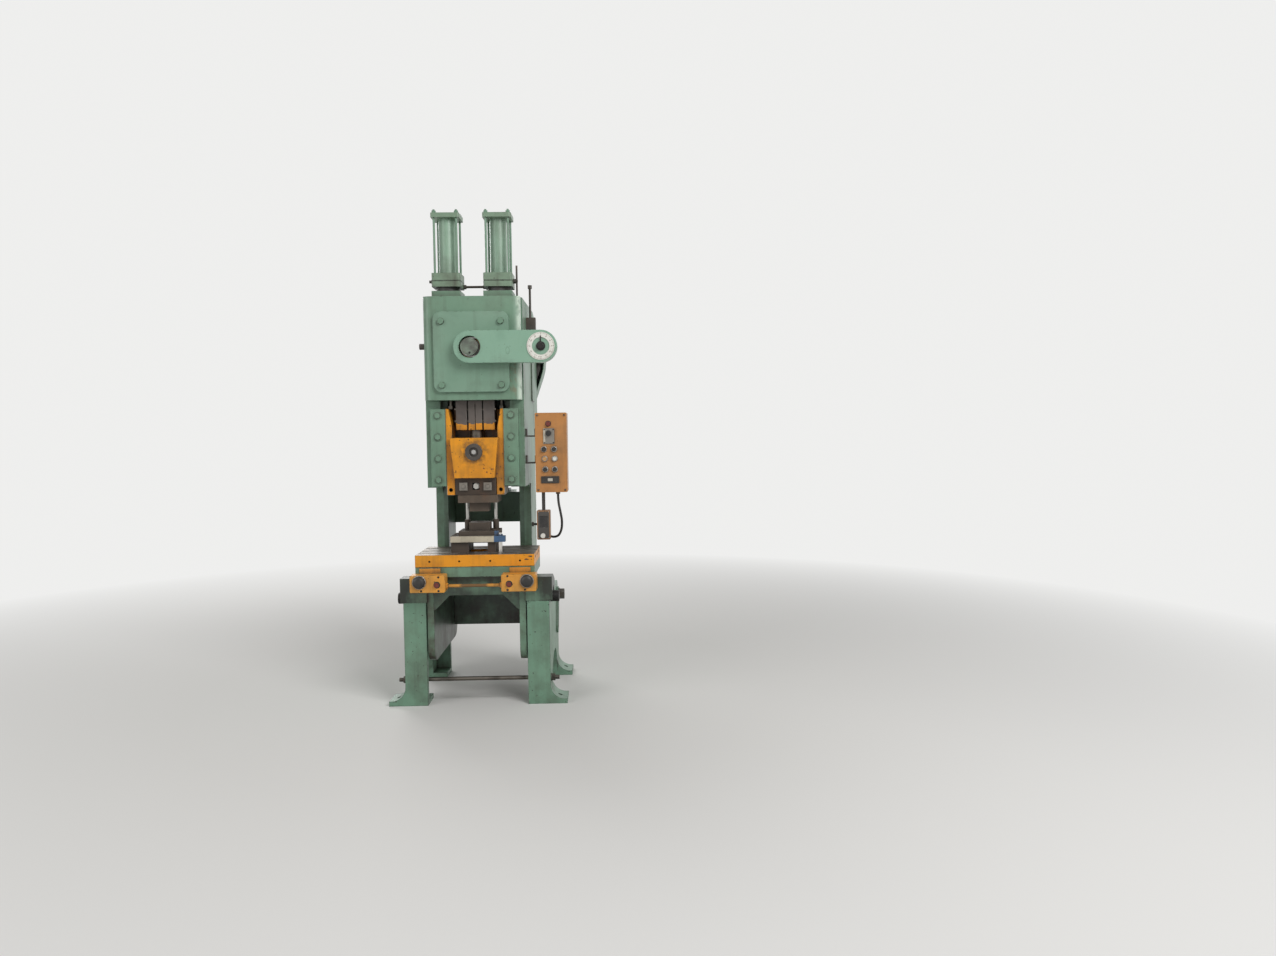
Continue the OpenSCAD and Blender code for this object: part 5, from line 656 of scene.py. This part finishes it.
f = Finish("cap_green", 0.003)
coat = paint(f, *CAP_GREEN, chips=0.5, grime=0.75, low=2.2)
coat = f.lay(f.within(f.z, *SEAM_Z) * 0.9, coat, Coat((0.02, 0.02, 0.018), 0.6, 0.0, -0.4))
coat = f.lay(f.z < PACKING_TOP_Z, coat, moulded(f, (0.020, 0.019, 0.018), 0.5))
dress("balancer_caps", f.done(coat, 0.08))
dress("balancer_tubes", painted("tube_green", TUBE_GREEN, 0.15, 0.003,
                                chips=0.45, grime=0.55, low=2.3))
print("packing up to:", PACKING_TOP_Z)

# %% [markdown]
# The box of the small switch has a rusty tan rim round a dark face, a glossy window in the face,
# and an iron gland on top. The masks lie inside one another, so the face goes on first.

# %% Switch box
RIM_TAN = (0.230, 0.110, 0.045), (0.300, 0.155, 0.070)
FACE_BROWN = (0.048, 0.044, 0.040), (0.075, 0.068, 0.060)
FACE_X, FACE_Y, FACE_Z = (0.3535, 0.4185), -0.2865, (0.951, 1.109)
GLASS_X, GLASS_Y, GLASS_Z = (0.3615, 0.4105), -0.284, (1.0155, 1.0830)
GLAND_Z = 1.1165

f = Finish("switch_box_paint", 0.003, 0.02)
coat = paint(f, *RIM_TAN, chips=0.9, grime=0.8, low=0.5)
face = (f.y < FACE_Y) * f.within(f.x, *FACE_X) * f.within(f.z, *FACE_Z)
glass = (f.y < GLASS_Y) * f.within(f.x, *GLASS_X) * f.within(f.z, *GLASS_Z)
coat = f.lay(face, coat, paint(f, *FACE_BROWN, chips=0.5, grime=0.5, low=0.5))
coat = f.lay(glass, coat, moulded(f, (0.012, 0.011, 0.011), 0.16))
coat = f.lay(f.z > GLAND_Z, coat, iron(f, (0.050, 0.045, 0.040)))
dress("switch_box", f.done(coat, 0.05))
print("switch box gland from:", GLAND_Z)

# %% [markdown]
# The panel is one plate with much on it: a grey selector plate, six bezels, two blank black caps
# and a tan one, and a counter behind a window. Small discs and strips, measured in millimetres
# from the panel's middle, tell these apart.

# %% Control panel and box
PANEL_MIDDLE = Vector((0.4375, -0.290, 1.4545))
LAMP, MODE, START, STOP = (-15, 169), (-42, 20), (20, -36), (20, -98)
BLACK_CAPS, TAN_CAP = ((17, 20), (-36, -98)), (-38, -36)
BEZEL_PLACES = (MODE, START, STOP, TAN_CAP, *BLACK_CAPS)
BEZEL_WIDTH, CAP_WIDTH = 34.4, 24.4
SELECTOR_PLATE, PLATE_STRIP = (-44, 20, 52, 141), (-44, -33, 52, 141)
COUNTER, COUNTER_WINDOW = (-61, 44, -179, -138), (-22, 6, -167, -150)
PLATE_Y, CAP_FRONT_Y, COUNTER_WINDOW_Y = -0.2903, -0.2944, (-0.2935, -0.2915)


def on_panel(at, front=0.0):
    """A place on the panel, from millimetres off its middle and in front of it."""
    return PANEL_MIDDLE + Vector((at[0] / 1000, -front / 1000, at[1] / 1000))


def panel_disc(f, at, diameter):
    spot = on_panel(at)
    return f.disc(f.x, f.z, (spot.x, spot.z), diameter / 2000)


def panel_strip(f, left, right_side, low, high):
    a, b = on_panel((left, low)), on_panel((right_side, high))
    return f.within(f.x, a.x, b.x) * f.within(f.z, a.z, b.z)


f = Finish("panel_tan", 0.0015, 0.02)
coat = paint(f, *TAN, chips=0.75, grime=0.6, gloss=0.42, low=0.9, primer=0.3)
raised, cap_front = f.y < PLATE_Y, f.y < CAP_FRONT_Y
coat = f.lay(panel_strip(f, *SELECTOR_PLATE) * raised, coat,
             Coat((0.235, 0.215, 0.185), 0.42, 0.3, f.noise(120.0, 3.0) * 0.03))
coat = f.lay(panel_strip(f, *PLATE_STRIP) * raised, coat, Coat((0.52, 0.47, 0.38), 0.5))
for at in BEZEL_PLACES:
    coat = f.lay(panel_disc(f, at, BEZEL_WIDTH) * raised, coat,
                 Coat((0.50, 0.47, 0.41), 0.34, 0.35))
for at in BLACK_CAPS:
    coat = f.lay(panel_disc(f, at, CAP_WIDTH) * cap_front, coat,
                 Coat((0.020, 0.018, 0.016), 0.35))
coat = f.lay(panel_disc(f, TAN_CAP, CAP_WIDTH) * cap_front, coat, Coat((0.50, 0.27, 0.10), 0.4))
coat = f.lay(panel_strip(f, *COUNTER) * raised, coat, moulded(f, (0.022, 0.019, 0.016), 0.42))
coat = f.lay(panel_strip(f, *COUNTER_WINDOW) * f.within(f.y, *COUNTER_WINDOW_Y), coat,
             Coat((0.50, 0.47, 0.40), 0.3))
dress("control_panel", f.done(coat, 0.06))
dress("control_box", painted("box_tan", TAN, chips=0.7, grime=0.75, low=0.9, edge=0.003))
print("panel bezels:", len(BEZEL_PLACES))

# %% [markdown]
# The two-hand boxes hang in front of the bed. Each palm button sits in a steel rim, and round each
# small red button a near-black disc is painted as the shade of its recess; the same discs do for
# both boxes when the mask reads how far a spot is from the press's middle. The pipe between them
# is rubbed bare where it is leant on.

# %% Button boxes
PALM, SMALL = (0.303, 0.7378), (0.203, 0.7221)
PALM_RIM, RECESS_SHADE_RADIUS = 0.0387, 0.0190
BOX_FRONT_Y, BOX_FOOT_Z = -0.5128, 0.6795
BARE_PIPE_X = (0.060, 0.085)

f = Finish("button_box_yellow", 0.003, 0.03)
coat = paint(f, *PALE_YELLOW, chips=1.0, grime=0.55, low=0.4, primer=0.3)
front = f.y < BOX_FRONT_Y
coat = f.lay(f.disc(f.x.size(), f.z, PALM, PALM_RIM) * front, coat,
             steel(f, (0.42, 0.40, 0.37), 0.3, NO_LINES))
# Painted shade: a near-black disc round each small button stands for its recess.
coat = grease(f, coat, f.disc(f.x.size(), f.z, SMALL, RECESS_SHADE_RADIUS) * front)
coat = grease(f, coat, (f.z < BOX_FOOT_Z) * f.patches(9.0, 4.0, 0.3, 0.6))
dress("button_boxes", f.done(coat, 0.1))

f = Finish("conduit_worn", 0.002)
coat = paint(f, *PALE_YELLOW, chips=1.8, grime=0.8, low=0.4)
bare_middle = 1 - f.ramp(f.x.size() + (f.noise(18.0, 4.0) - 0.5) * 0.12, *BARE_PIPE_X)
coat = f.lay(bare_middle * 0.85, coat, Coat((0.085, 0.050, 0.026), 0.5, 0.2, coat.height))
dress("button_conduit", f.done(coat))
print("palm buttons at x:", PALM[0])

# %% [markdown]
# Screws, bezels and tick marks are one small shape laid at many places. Geometry Nodes does this
# well: a tree takes a cloud of points, puts the shape on each, turns it by the point's own turn,
# and makes it real. The tree is built once for each shape, with its sizes as named inputs.

# %% Patterns
class Pattern(Bench):
    """A Geometry Nodes tree that lays copies of one shape on points."""

    def __init__(self, name, sizes):
        super().__init__(bpy.data.node_groups.new(name, "GeometryNodeTree"))
        faces = self.tree.interface
        faces.new_socket("Points", in_out="INPUT", socket_type="NodeSocketGeometry")
        for label in sizes:
            faces.new_socket(label, in_out="INPUT", socket_type="NodeSocketFloat")
        faces.new_socket("Finish", in_out="INPUT", socket_type="NodeSocketMaterial")
        faces.new_socket("Pieces", in_out="OUTPUT", socket_type="NodeSocketGeometry")
        self.entry = self.tree.nodes.new("NodeGroupInput")

    def given(self, label):
        return Wire(self.tree, self.entry.outputs[label])

    def close(self, shape):
        """Lays the shape on the points and ends the tree."""
        turn = self.add("GeometryNodeInputNamedAttribute", {"Name": "turn"},
                        data_type="FLOAT_VECTOR")
        rotation = self.add("FunctionNodeEulerToRotation", {"Euler": turn})
        laid = self.add("GeometryNodeInstanceOnPoints",
                        {"Points": self.given("Points"), "Instance": shape, "Rotation": rotation})
        real = self.add("GeometryNodeRealizeInstances", {"Geometry": laid})
        finished = self.add("GeometryNodeSetMaterial",
                            {"Geometry": real, "Material": self.given("Finish")})
        self.end("NodeGroupOutput", "Pieces", finished)
        return self.tree


def plain_mesh(piece):
    """The mesh that a piece shows once its modifiers or its text are worked out."""
    shown = piece.evaluated_get(bpy.context.evaluated_depsgraph_get())
    return bpy.data.meshes.new_from_object(shown)


def lay_out(name, pattern, places, slot, material, body="frame", **sizes):
    """Makes one piece from a pattern; each place is a point with the turn of the shape on it."""
    mesh = bpy.data.meshes.new(name)
    mesh.from_pydata([tuple(place) for place, _ in places], [], [])
    turns = mesh.attributes.new("turn", "FLOAT_VECTOR", "POINT")
    turns.data.foreach_set("vector", [angle for _, turn in places for angle in turn])
    piece = put_in_scene(name, mesh)
    layer = piece.modifiers.new(name, "NODES")
    layer.node_group = pattern
    given = {**sizes, "Finish": material}
    for item in pattern.interface.items_tree:
        if item.in_out == "INPUT" and item.name in given:
            layer[item.identifier] = given[item.name]
    plain = plain_mesh(piece)
    piece.modifiers.clear()
    piece.data = plain
    if not plain.materials:
        plain.materials.append(material)
    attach(piece, body)
    print(name + ":", len(places), "laid,", len(plain.polygons), "faces")
    return piece


print("patterns take points with a turn each")

# %% [markdown]
# The first shape is a slotted screw head: a short cone with a flat top and a slot cut through it.
# The second is a plain ring for bezels, washers and the eye. The third is a low bar for ticks.
# In each the shape's own Z points out of the surface.

# %% Screw, ring and bar
HEAD_SIDES, RING_SIDES, WIRE_SIDES = 20, 36, 10
HEAD_TOP, BLADE_LONG, BLADE_WIDE = 0.8, 2.4, 0.28

heads = Pattern("screw_heads", ("Radius", "Height"))
radius, height = heads.given("Radius"), heads.given("Height")
head = heads.add("GeometryNodeMeshCone",
                 {"Vertices": HEAD_SIDES, "Radius Top": radius * HEAD_TOP,
                  "Radius Bottom": radius, "Depth": height}, out="Mesh")
blade_size = heads.add("ShaderNodeCombineXYZ",
                       {"X": radius * BLADE_LONG, "Y": radius * BLADE_WIDE, "Z": height})
blade = heads.add("GeometryNodeMeshCube", {"Size": blade_size}, out="Mesh")
lift = heads.add("ShaderNodeCombineXYZ", {"Z": height})
raised_blade = heads.add("GeometryNodeTransform", {"Geometry": blade, "Translation": lift})
slotted = heads.add("GeometryNodeMeshBoolean", {"Mesh 1": head, "Mesh 2": raised_blade}, "Mesh",
                    operation="DIFFERENCE")
screw_tree = heads.close(slotted)

rings = Pattern("rings", ("Radius", "Thickness"))
line, section = (rings.add("GeometryNodeCurvePrimitiveCircle",
                           {"Resolution": sides, "Radius": size}, out="Curve")
                 for sides, size in ((RING_SIDES, rings.given("Radius")),
                                     (WIRE_SIDES, rings.given("Thickness") * 0.5)))
ring_tree = rings.close(rings.add("GeometryNodeCurveToMesh",
                                  {"Curve": line, "Profile Curve": section}))

bars = Pattern("bars", ("Length", "Width", "Rise"))
bar_size = bars.add("ShaderNodeCombineXYZ",
                    {"X": bars.given("Length"), "Y": bars.given("Width"),
                     "Z": bars.given("Rise")})
bar_tree = bars.close(bars.add("GeometryNodeMeshCube", {"Size": bar_size}, out="Mesh"))
print("patterns:", len(bpy.data.node_groups))

# %% [markdown]
# Screws never line up, so each gets a spin of its own from a seeded draw. A face that looks along
# -Y, such as every front panel, needs its screws turned a quarter about X first.

# %% Screws
draw = random.Random(7)
FRONT = Matrix.Rotation(math.radians(90), 3, "X")
BACK = Matrix.Rotation(math.radians(-90), 3, "X")
PANEL_CORNER, PLATE_SCREW_X, PLATE_SCREW_Z = (78.5, 218.5), (-38, 14), (58, 135)
BOX_SCREWS, BOX_SCREW_Y = ((0.194, 0.766), (0.194, 0.688), (0.292, 0.688)), -0.513
SWITCH_X, SWITCH_Y, SWITCH_Z = (0.3555, 0.4165), -0.288, (0.9535, 1.1065)


def turned_on(facing, spin=None):
    """The turn of a shape on a face, with a spin about the face's own axis."""
    angle = draw.uniform(0, math.pi) if spin is None else spin
    return tuple((facing @ Matrix.Rotation(angle, 3, "Z")).to_euler())


panel_screws = [(on_panel((x * PANEL_CORNER[0], z * PANEL_CORNER[1]), 3.0), turned_on(FRONT))
                for x in (-1, 1) for z in (-1, 1)]
panel_screws += [(on_panel((x, z), 4.2), turned_on(FRONT))
                 for x in PLATE_SCREW_X for z in PLATE_SCREW_Z]
lay_out("panel_screws", screw_tree, panel_screws, "dark_iron", dark_iron,
        Radius=0.0046, Height=0.0022)

box_screws = [(Vector((side * x, BOX_SCREW_Y, z)), turned_on(FRONT))
              for side in (-1, 1) for x, z in BOX_SCREWS]
lay_out("button_box_screws", screw_tree, box_screws, "dark_iron", pointer_black,
        Radius=0.0062, Height=0.0026)

switch_screws = [(Vector((x, SWITCH_Y, z)), turned_on(FRONT))
                 for x in SWITCH_X for z in SWITCH_Z]
lay_out("switch_box_screws", screw_tree, switch_screws, "steel", bare_steel,
        Radius=0.0030, Height=0.0014)

# %% [markdown]
# The belt guard is a pressed shell. Its back is held by a row of slotted screws, set a little way
# in from the outline, which is a large part circle and a small one joined by straight sides.

# %% Guard screws
GUARD_TOP, GUARD_FOOT = (2.060, 0.336), (1.300, 0.088)
GUARD_BACK_Y, SCREW_INSET, TOP_STEPS = 0.870, 0.022, 8


def guard_line(inset, steps):
    """Points along the guard's outline, set in from it."""
    lean = math.asin((GUARD_TOP[1] - GUARD_FOOT[1]) / (GUARD_TOP[0] - GUARD_FOOT[0]))

    def arc_points(end, first, sweep, count):
        turns = [first + sweep * k / count for k in range(count + 1)]
        return [(math.cos(a) * (end[1] - inset), end[0] + math.sin(a) * (end[1] - inset))
                for a in turns]

    top = arc_points(GUARD_TOP, -lean, math.pi + 2 * lean, steps)
    foot = arc_points(GUARD_FOOT, math.pi + lean, math.pi - 2 * lean, 2)
    sides = []
    for (x, z), (foot_x, foot_z) in ((top[0], foot[-1]), (top[-1], foot[0])):
        sides += [(x + (foot_x - x) * share, z + (foot_z - z) * share) for share in (0.33, 0.66)]
    return top + foot + sides


guard_screws = [(Vector((x, GUARD_BACK_Y, z)), turned_on(BACK))
                for x, z in guard_line(SCREW_INSET, TOP_STEPS)]
lay_out("guard_screws", screw_tree, guard_screws, "dark_iron", dark_iron,
        Radius=0.0085, Height=0.0036)

# %% [markdown]
# The dial tells the crank's angle. Its white ring carries a tick every five degrees and longer
# ones every thirty. The ticks are bars on a circle, each turned to point at the middle.

# %% Dial marks
DIAL = Vector((0.400, -0.4622, 2.060))
SHORT_TICK_STEP, LONG_TICK_STEP = 5, 30
SHORT_TICK_OUT, LONG_TICK_OUT, NUMBER_OUT = 0.0732, 0.0715, 0.0605
INK_BROWN, WORN_INK = (0.100, 0.070, 0.042), (0.240, 0.185, 0.120)

f = Finish("dial_ink", 0.0003, 0.01)
ink_colour = f.mix(f.patches(60.0, 4.0, 0.42, 0.66), INK_BROWN, WORN_INK)
dial_ink = f.done(Coat(ink_colour, 0.55, 0.0, f.noise(300.0, 2.0) * 0.02))


def round_dial(distance, degrees):
    """A place on the dial, with zero at its top and angles clockwise."""
    angle = math.radians(degrees)
    return DIAL + Vector((math.sin(angle), 0.0, math.cos(angle))) * distance


def ticks(step, skip, distance):
    return [(round_dial(distance, a), turned_on(FRONT, math.radians(90 - a)))
            for a in range(0, 360, step) if not skip or a % skip]


lay_out("dial_short_ticks", bar_tree, ticks(SHORT_TICK_STEP, LONG_TICK_STEP, SHORT_TICK_OUT),
        "dark_iron", dial_ink, Length=0.0060, Width=0.0015, Rise=0.0004)
lay_out("dial_long_ticks", bar_tree, ticks(LONG_TICK_STEP, 0, LONG_TICK_OUT),
        "dark_iron", dial_ink, Length=0.0090, Width=0.0026, Rise=0.0004)

# %% [markdown]
# The plain numbers are text, each turned so that its foot points at the dial's middle. Text is
# made a mesh before it is put in place, and the twelve numbers are joined into one piece.

# %% Dial numbers
NUMBER_HEIGHT, NUMBER_RISE, SAME_SPOT = 0.0088, 0.0002, 0.000001

number_mesh = bmesh.new()
for degrees in range(0, 360, LONG_TICK_STEP):
    text = bpy.data.curves.new("number", "FONT")
    text.body = str(degrees)
    text.size = NUMBER_HEIGHT
    text.align_x = text.align_y = "CENTER"
    text.extrude = NUMBER_RISE
    text.resolution_u = 3
    holder = put_in_scene("number", text)
    flat = plain_mesh(holder)
    spin = Matrix.Rotation(math.radians(degrees), 4, "Y") @ FRONT.to_4x4()
    flat.transform(Matrix.Translation(round_dial(NUMBER_OUT, degrees)) @ spin)
    number_mesh.from_mesh(flat)
    bpy.data.objects.remove(holder)
bmesh.ops.remove_doubles(number_mesh, verts=number_mesh.verts, dist=SAME_SPOT)
bmesh.ops.recalc_face_normals(number_mesh, faces=number_mesh.faces)
numbers = put_in_scene("dial_numbers", bpy.data.meshes.new("dial_numbers"))
number_mesh.to_mesh(numbers.data)
number_mesh.free()
numbers.data.materials.append(dial_ink)
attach(numbers, "frame")
print("numbers:", 360 // LONG_TICK_STEP)

# %% [markdown]
# Rings finish many small places: a bezel round each button, a lock ring round the lamp, rims on
# the buttons of the two-hand boxes, a washer under each gib bolt, and the lifting eye on the
# motor, which is simply a ring that stands upright.

# %% Bezels and eyes
PALM_RIM_Y, RECESS_Y, WASHER_Y = -0.5182, -0.5130, -0.3306
EYE_PLACE, UPRIGHT = Vector((0.0, 0.564, 1.420)), (math.radians(90), 0.0, 0.0)


def both_sides(x, y, z):
    return [(Vector((side * x, y, z)), turned_on(FRONT)) for side in (-1, 1)]


bezels = [(on_panel(at, 4.6), turned_on(FRONT)) for at in BEZEL_PLACES]
lay_out("panel_bezels", ring_tree, bezels, "steel", bare_steel,
        Radius=0.0150, Thickness=0.0030)
lay_out("lamp_ring", ring_tree, [(on_panel(LAMP, 1.4), turned_on(FRONT))], "dark_iron", dark_iron,
        Radius=0.0158, Thickness=0.0034)
lay_out("palm_rims", ring_tree, both_sides(PALM[0], PALM_RIM_Y, PALM[1]), "steel", bare_steel,
        Radius=0.0366, Thickness=0.0030)
lay_out("small_button_rims", ring_tree, both_sides(SMALL[0], RECESS_Y, SMALL[1]), "dark_iron",
        dark_iron, Radius=0.0150, Thickness=0.0040)
washers = [(Vector((side * GIB_BOLT_X, WASHER_Y, z)), turned_on(FRONT))
           for side in (-1, 1) for z in GIB_BOLT_Z]
lay_out("gib_washers", ring_tree, washers, "green_paint", green_paint,
        Radius=0.0172, Thickness=0.0042)
lay_out("motor_eye", ring_tree, [(EYE_PLACE, UPRIGHT)], "dark_iron", dark_iron,
        Radius=0.0145, Thickness=0.0075)

# %% [markdown]
# The cable runs from the gland under the control box, hangs in a loose loop and goes back into
# the frame's side plate behind the little switch box. Its points are listed, and a smooth curve
# goes through them.

# %% Control cable
CABLE_DIAMETER, CABLE_STEPS = 0.014, 8
CABLE_ROUTE_MM = [
    (470, -226, 1216), (470, -226, 1190), (473, -225, 1150), (482, -222, 1100), (489, -215, 1050),
    (486, -203, 1000), (470, -184, 962), (446, -158, 946), (418, -124, 944), (390, -82, 954),
    (362, -34, 974), (340, 22, 992), (326, 56, 999), (312, 69, 1000), (300, 70, 1000),
    (286, 70, 1000)]


def on_curve(points, steps):
    """Points of a smooth Catmull-Rom curve through the given ones."""
    made = []
    ends = [points[0] * 2 - points[1], *points, points[-1] * 2 - points[-2]]
    for i in range(len(points) - 1):
        a, b, c, d = ends[i:i + 4]
        for step in range(steps):
            t = step / steps
            made.append(0.5 * (2 * b + (c - a) * t + (2 * a - 5 * b + 4 * c - d) * t * t
                               + (3 * b - a - 3 * c + d) * t ** 3))
    return [*made, points[-1]]


def tube_along(name, path, radius, sides=16):
    """A closed round tube along a path, with its ends capped."""
    mesh = bpy.data.meshes.new(name)
    shape = bmesh.new()
    loops = []
    side = Vector((1.0, 0.0, 0.0))
    turns = [2 * math.pi * k / sides for k in range(sides)]
    for i, point in enumerate(path):
        ahead = (path[min(i + 1, len(path) - 1)] - path[max(i - 1, 0)]).normalized()
        side = (side - ahead * side.dot(ahead)).normalized()
        across = ahead.cross(side)
        loops.append([shape.verts.new(point + (side * math.cos(a) + across * math.sin(a)) * radius)
                      for a in turns])
    for low, high in zip(loops, loops[1:]):
        for k in range(sides):
            shape.faces.new((low[k], low[(k + 1) % sides], high[(k + 1) % sides], high[k]))
    shape.faces.new(loops[0][::-1])
    shape.faces.new(loops[-1])
    bmesh.ops.recalc_face_normals(shape, faces=shape.faces)
    for face in shape.faces:
        face.smooth = len(face.verts) == 4
    shape.to_mesh(mesh)
    shape.free()
    return put_in_scene(name, mesh)


cable_path = on_curve([Vector(point) / 1000 for point in CABLE_ROUTE_MM], CABLE_STEPS)
cable_length = sum((b - a).length for a, b in zip(cable_path, cable_path[1:]))
cable = tube_along("cable", cable_path, CABLE_DIAMETER / 2)
cable.data.materials.append(black_rubber)
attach(cable, "frame")
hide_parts("control_cable")
print("cable:", round(cable_length, 3), "m")

# %% [markdown]
# A press is photographed best like any large product: on a pale floor that fades into a pale
# wall, with one large soft lamp high on the right, a weaker one on the left and one behind. The
# world lights the press only weakly. The camera and reflections see it, and the far floor, at full
# strength, so that they stay pale without more light on the press.

# %% Floor and light
FLOOR_COLOUR, FLOOR_SHADE, FLOOR_HALF = (0.72, 0.71, 0.69), 0.92, 60.0
BACKDROP_COLOUR = (0.86, 0.86, 0.85)
FADE_SQUARED = (3.0, 38.0)
WORLD_ON_PRESS = 0.30


def soft_lamp(name, place, aim, size, power):
    """A large square lamp that points at a spot."""
    lamp = bpy.data.lights.new(name, "AREA")
    lamp.size = size
    lamp.energy = power
    piece = put_in_scene(name, lamp)
    piece.location = place
    piece.rotation_mode = "QUATERNION"
    piece.rotation_quaternion = (Vector(aim) - Vector(place)).to_track_quat("-Z", "Y")


def seen_by(tree, *kinds):
    """1 for rays of the given kinds, such as those of the camera."""
    rays = tree.nodes.new("ShaderNodeLightPath")
    seen = Wire(tree, rays.outputs[kinds[0]])
    for kind in kinds[1:]:
        seen = seen.largest(Wire(tree, rays.outputs[kind]))
    return seen


f = Finish("studio_floor")
shade = tuple(v * FLOOR_SHADE for v in FLOOR_COLOUR)
floor_tone = f.mix(f.noise(0.8, 3.0) * 0.12, FLOOR_COLOUR, shade)
shaded = f.add("ShaderNodeBsdfDiffuse", {"Color": floor_tone})
glow = f.add("ShaderNodeEmission", {"Color": BACKDROP_COLOUR, "Strength": 1.0})
far_off = (f.ramp(f.x * f.x + f.y * f.y, *FADE_SQUARED)
           * seen_by(f.tree, "Is Camera Ray", "Is Glossy Ray"))
blended = f.tree.nodes.new("ShaderNodeMixShader")
for socket, wire in zip(blended.inputs, (far_off, shaded, glow)):
    plug(f.tree, socket, wire)
f.end("ShaderNodeOutputMaterial", "Surface", Wire(f.tree, blended.outputs[0]))
floor_mesh = bpy.data.meshes.new("studio_floor")
floor_mesh.from_pydata([(x * FLOOR_HALF, y * FLOOR_HALF, 0)
                        for x, y in ((-1, -1), (1, -1), (1, 1), (-1, 1))], [], [(0, 1, 2, 3)])
floor = put_in_scene("studio_floor", floor_mesh)
floor.data.materials.append(f.material)

soft_lamp("key", (4.2, -5.2, 5.6), (0.0, 0.0, 1.4), 3.6, 370)
soft_lamp("fill", (-5.0, -4.0, 3.2), (0.0, 0.0, 1.3), 4.0, 105)
soft_lamp("back", (-2.5, 5.5, 4.8), (0.0, 0.2, 1.5), 3.5, 190)

world = bpy.data.worlds.new("studio")
world.use_nodes = True
bpy.context.scene.world = world
sky = Bench(world.node_tree)
sky.tree.nodes.clear()
seen = seen_by(sky.tree, "Is Camera Ray", "Is Glossy Ray", "Is Transmission Ray")
strength = WORLD_ON_PRESS + (1.0 - WORLD_ON_PRESS) * seen
backdrop = sky.add("ShaderNodeBackground", {"Color": BACKDROP_COLOUR, "Strength": strength})
sky.end("ShaderNodeOutputWorld", "Surface", backdrop)
print("lamps:", len(bpy.data.lights))
